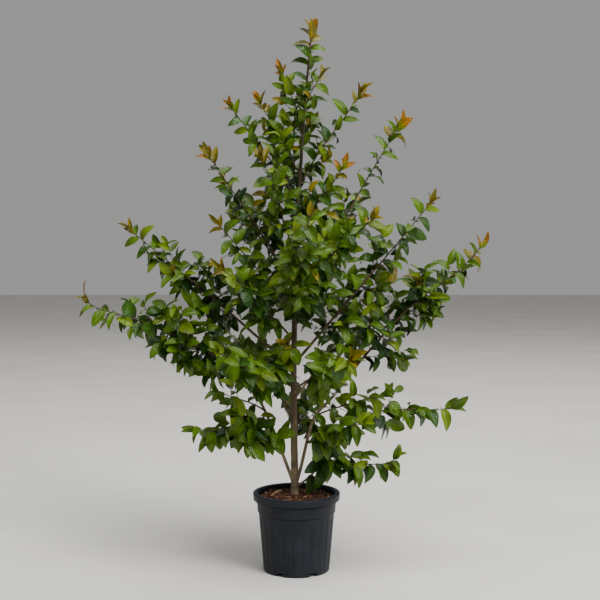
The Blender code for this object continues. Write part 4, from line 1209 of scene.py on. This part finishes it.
class BuildCompost(bpy.types.Operator):
    """Mound of bark compost with loose chips on it"""

    bl_idname = "photinia.build_compost"
    bl_label = "Compost"

    def execute(self, context):
        sizes = context.scene.photinia_pot
        edge = wall_radius(COMPOST_EDGE) - WALL - 0.0002
        radii = np.linspace(0.001, edge, 70)
        angles = np.linspace(0, 2 * math.pi, 180, endpoint=False)
        x = radii[::-1, None] * np.cos(angles)
        y = radii[::-1, None] * np.sin(angles)
        points = np.stack([x, y, compost_height(x, y)], -1).reshape(-1, 3)
        points, fan = close_grid(points, len(angles))
        # The bed takes the chip colour at 0.4: the fines' own dark and painted shade between the chips
        bed = give_mesh("compost_bed", points, grid_quads(len(radii), len(angles), True), fan,
                        compost_material(shaded(tuple(sizes.bark_chip), 0.4)))
        finish_piece(bed, "compost", "compost")
        rule = np.random.default_rng(RANDOM_SEED)
        reach = (edge - 0.008) * np.sqrt(rule.uniform(0.015, 1, sizes.chips))
        around = rule.uniform(0, 2 * math.pi, sizes.chips)
        lengths = sizes.chip_size * rule.uniform(0.45, 1.7, sizes.chips)
        x, y = reach * np.cos(around), reach * np.sin(around)
        height = compost_height(x, y) + lengths * 0.06
        centers = np.column_stack([x, y, height])
        tilts = rule.uniform(-0.75, 0.75, sizes.chips)
        turns = rule.uniform(0, 2 * math.pi, sizes.chips)
        pale = rule.uniform(0, 1, sizes.chips) < 0.04
        # One long pale splinter leans on the others, left of the trunk
        centers[0], lengths[0], turns[0], tilts[0], pale[0] = (-0.070, 0.012, 0.271), 0.030, 0.3, -0.4, True
        for name, chosen, color in (("bark_chips", ~pale, sizes.bark_chip),
                                    ("pale_chips", pale, sizes.pale_chip)):
            points, quads = block_chips(centers[chosen], lengths[chosen], turns[chosen],
                                        tilts[chosen], rule)
            chips = give_mesh(name, points, quads, np.zeros((0, 3), int),
                              chip_material(name.replace("_", " "), tuple(color)), smooth=False)
            finish_piece(chips, "compost")
        return {"FINISHED"}


class BuildLimbs(bpy.types.Operator):
    """Trunk and boughs with the relief of their bark"""

    bl_idname = "photinia.build_limbs"
    bl_label = "Trunk and boughs"

    def execute(self, context):
        sizes = context.scene.photinia_wood
        paths = all_paths()
        relief = bark_relief(sizes.relief)
        color = tuple(sizes.bark)
        # Bark darkening upwards, partly its own colour and partly painted shade under the crown; the foot
        # is paled partly by dust and partly by painted light
        bark = bark_material("young bark", (
            (0.27, tuple(sizes.bark_foot)),
            (0.36, color),
            (0.58, shaded(color, 0.80)),
            (0.75, shaded(color, 0.45)),
            (1.20, shaded(color, 0.32)),
        ), 0.82)
        trunk = evenly_spaced(paths["trunk"], 420)
        foot_drop = np.array([0.0, 0.0, 0.004])
        trunk = np.vstack([trunk[0] - foot_drop, trunk])
        radii = trunk_radius(np.maximum(trunk[:, 2], TRUNK_LEAN[0][0]))
        thing = give_mesh("trunk_bark", *tubes(trunk[None], radii[None], 30, relief), bark)
        finish_piece(thing, "bark", "trunk")
        lines, radii = [], []
        for shoot in SHOOTS:
            if shoot.bare:
                lines.append(share_of(paths[shoot.name], 0.0, shoot.bare, 60))
                radii.append(shoot.radius * (1 - TAPER * np.linspace(0, shoot.bare, 60)))
        # Boughs take a lighter copy of the bark low down, as painted light, and darken upwards, partly with
        # their own colour and partly with painted shade under the crown
        bark = bark_material("young bark of boughs", (
            (0.27, tuple(sizes.bark_foot)),
            (0.40, shaded(color, 1.2)),
            (0.62, shaded(color, 1.1)),
            (0.80, shaded(color, 0.55)),
            (1.20, shaded(color, 0.32)),
        ), 0.82)
        thing = give_mesh("bough_bark", *tubes(np.array(lines), np.array(radii), 16, relief), bark)
        finish_piece(thing, "bark", *node_names("bough_"))
        return {"FINISHED"}


class BuildCrown(bpy.types.Operator):
    """Stems, twigs and leaves, regrown shoot by shoot"""

    bl_idname = "photinia.build_crown"
    bl_label = "Twigs and leaves"

    def execute(self, context):
        sizes = context.scene.photinia_leaf
        wood = context.scene.photinia_wood
        paths, shoots, twigs, leaves = grow_crown(sizes)
        masses = node_names("foliage_")
        color = tuple(wood.twig)
        skin = bark_material("young twig skin", ((0.30, color), (1.20, shaded(color, 0.8))), 0.6)
        lines, radii = [], []
        for shoot in shoots:
            length = lengths_along(paths[shoot.name])[-1]
            end = 1 - TIP_LEAF_SHARE * sizes.young_length * tip_size(shoot.name) / length
            lines.append(share_of(paths[shoot.name], shoot.bare, end, 40))
            share = np.linspace(shoot.bare, end, 40)
            thick = shoot.radius * (1 - TAPER * share)
            if shoot.name == "leader":
                thick = np.full(40, TRUNK_TIP_RADIUS)
            fade = np.clip((1 - share) / 0.5, 0, 1)
            radii.append(STEM_TIP_RADIUS + (thick - STEM_TIP_RADIUS) * fade)
        stems = give_mesh("stems", *tubes(np.array(lines), np.array(radii), 10), skin)
        finish_piece(stems, "bark", *masses)
        lines = np.array([[tuple(point) for point in twig.points] for twig in twigs])
        share = np.linspace(0, 1, lines.shape[1])
        thick = np.array([[twig.radius, twig.tip_radius] for twig in twigs])
        radii = thick[:, :1] + (thick[:, 1:] - thick[:, :1]) * share
        thing = give_mesh("twigs", *tubes(lines, radii, 5), skin)
        finish_piece(thing, "bark", *masses)
        for kind in LEAF_KINDS:
            chosen = [leaf for leaf in leaves if leaf.kind == kind]
            blades, quads, uv = leaf_blade(chosen)
            color = tuple(getattr(sizes, kind))
            foot = tuple(sizes.lime) if kind == "bronze" else color
            material = leaf_material("photinia leaf " + kind, foot, color, 0.20)
            thing = give_mesh("leaves_" + kind, blades.reshape(-1, 3), quads,
                              np.zeros((0, 3), int), material, uv)
            finish_piece(thing, "foliage", *masses)
            print(kind, len(chosen), "leaves")
        print(len(twigs), "twigs")
        return {"FINISHED"}


class PhotiniaPanel(bpy.types.Panel):
    """Lists the steps that build the plant"""

    bl_idname = "VIEW3D_PT_photinia"
    bl_label = "Photinia tree"
    bl_space_type = "VIEW_3D"
    bl_region_type = "UI"
    bl_category = "Photinia"

    def draw(self, context):
        for operator in OPERATORS:
            self.layout.operator(operator.bl_idname)
        for group in ("photinia_pot", "photinia_wood", "photinia_leaf"):
            sizes = getattr(context.scene, group)
            for name in sizes.__annotations__:
                self.layout.prop(sizes, name)


OPERATORS = (BuildStage, BuildPot, BuildCompost, BuildLimbs, BuildCrown)
GROUPS = {"photinia_pot": PotSizes, "photinia_wood": WoodSizes, "photinia_leaf": LeafSizes}
CLASSES = (*GROUPS.values(), *OPERATORS, PhotiniaPanel)


def register():
    for item in CLASSES:
        bpy.utils.register_class(item)
    for name, group in GROUPS.items():
        setattr(bpy.types.Scene, name, PointerProperty(type=group))


def unregister():
    for name in GROUPS:
        delattr(bpy.types.Scene, name)
    for item in reversed(CLASSES):
        bpy.utils.unregister_class(item)


def main():
    register()
    bpy.ops.photinia.build_stage()
    bpy.ops.photinia.build_pot()
    bpy.ops.photinia.build_compost()
    bpy.ops.photinia.build_limbs()
    bpy.ops.photinia.build_crown()


if __name__ == "__main__":
    main()
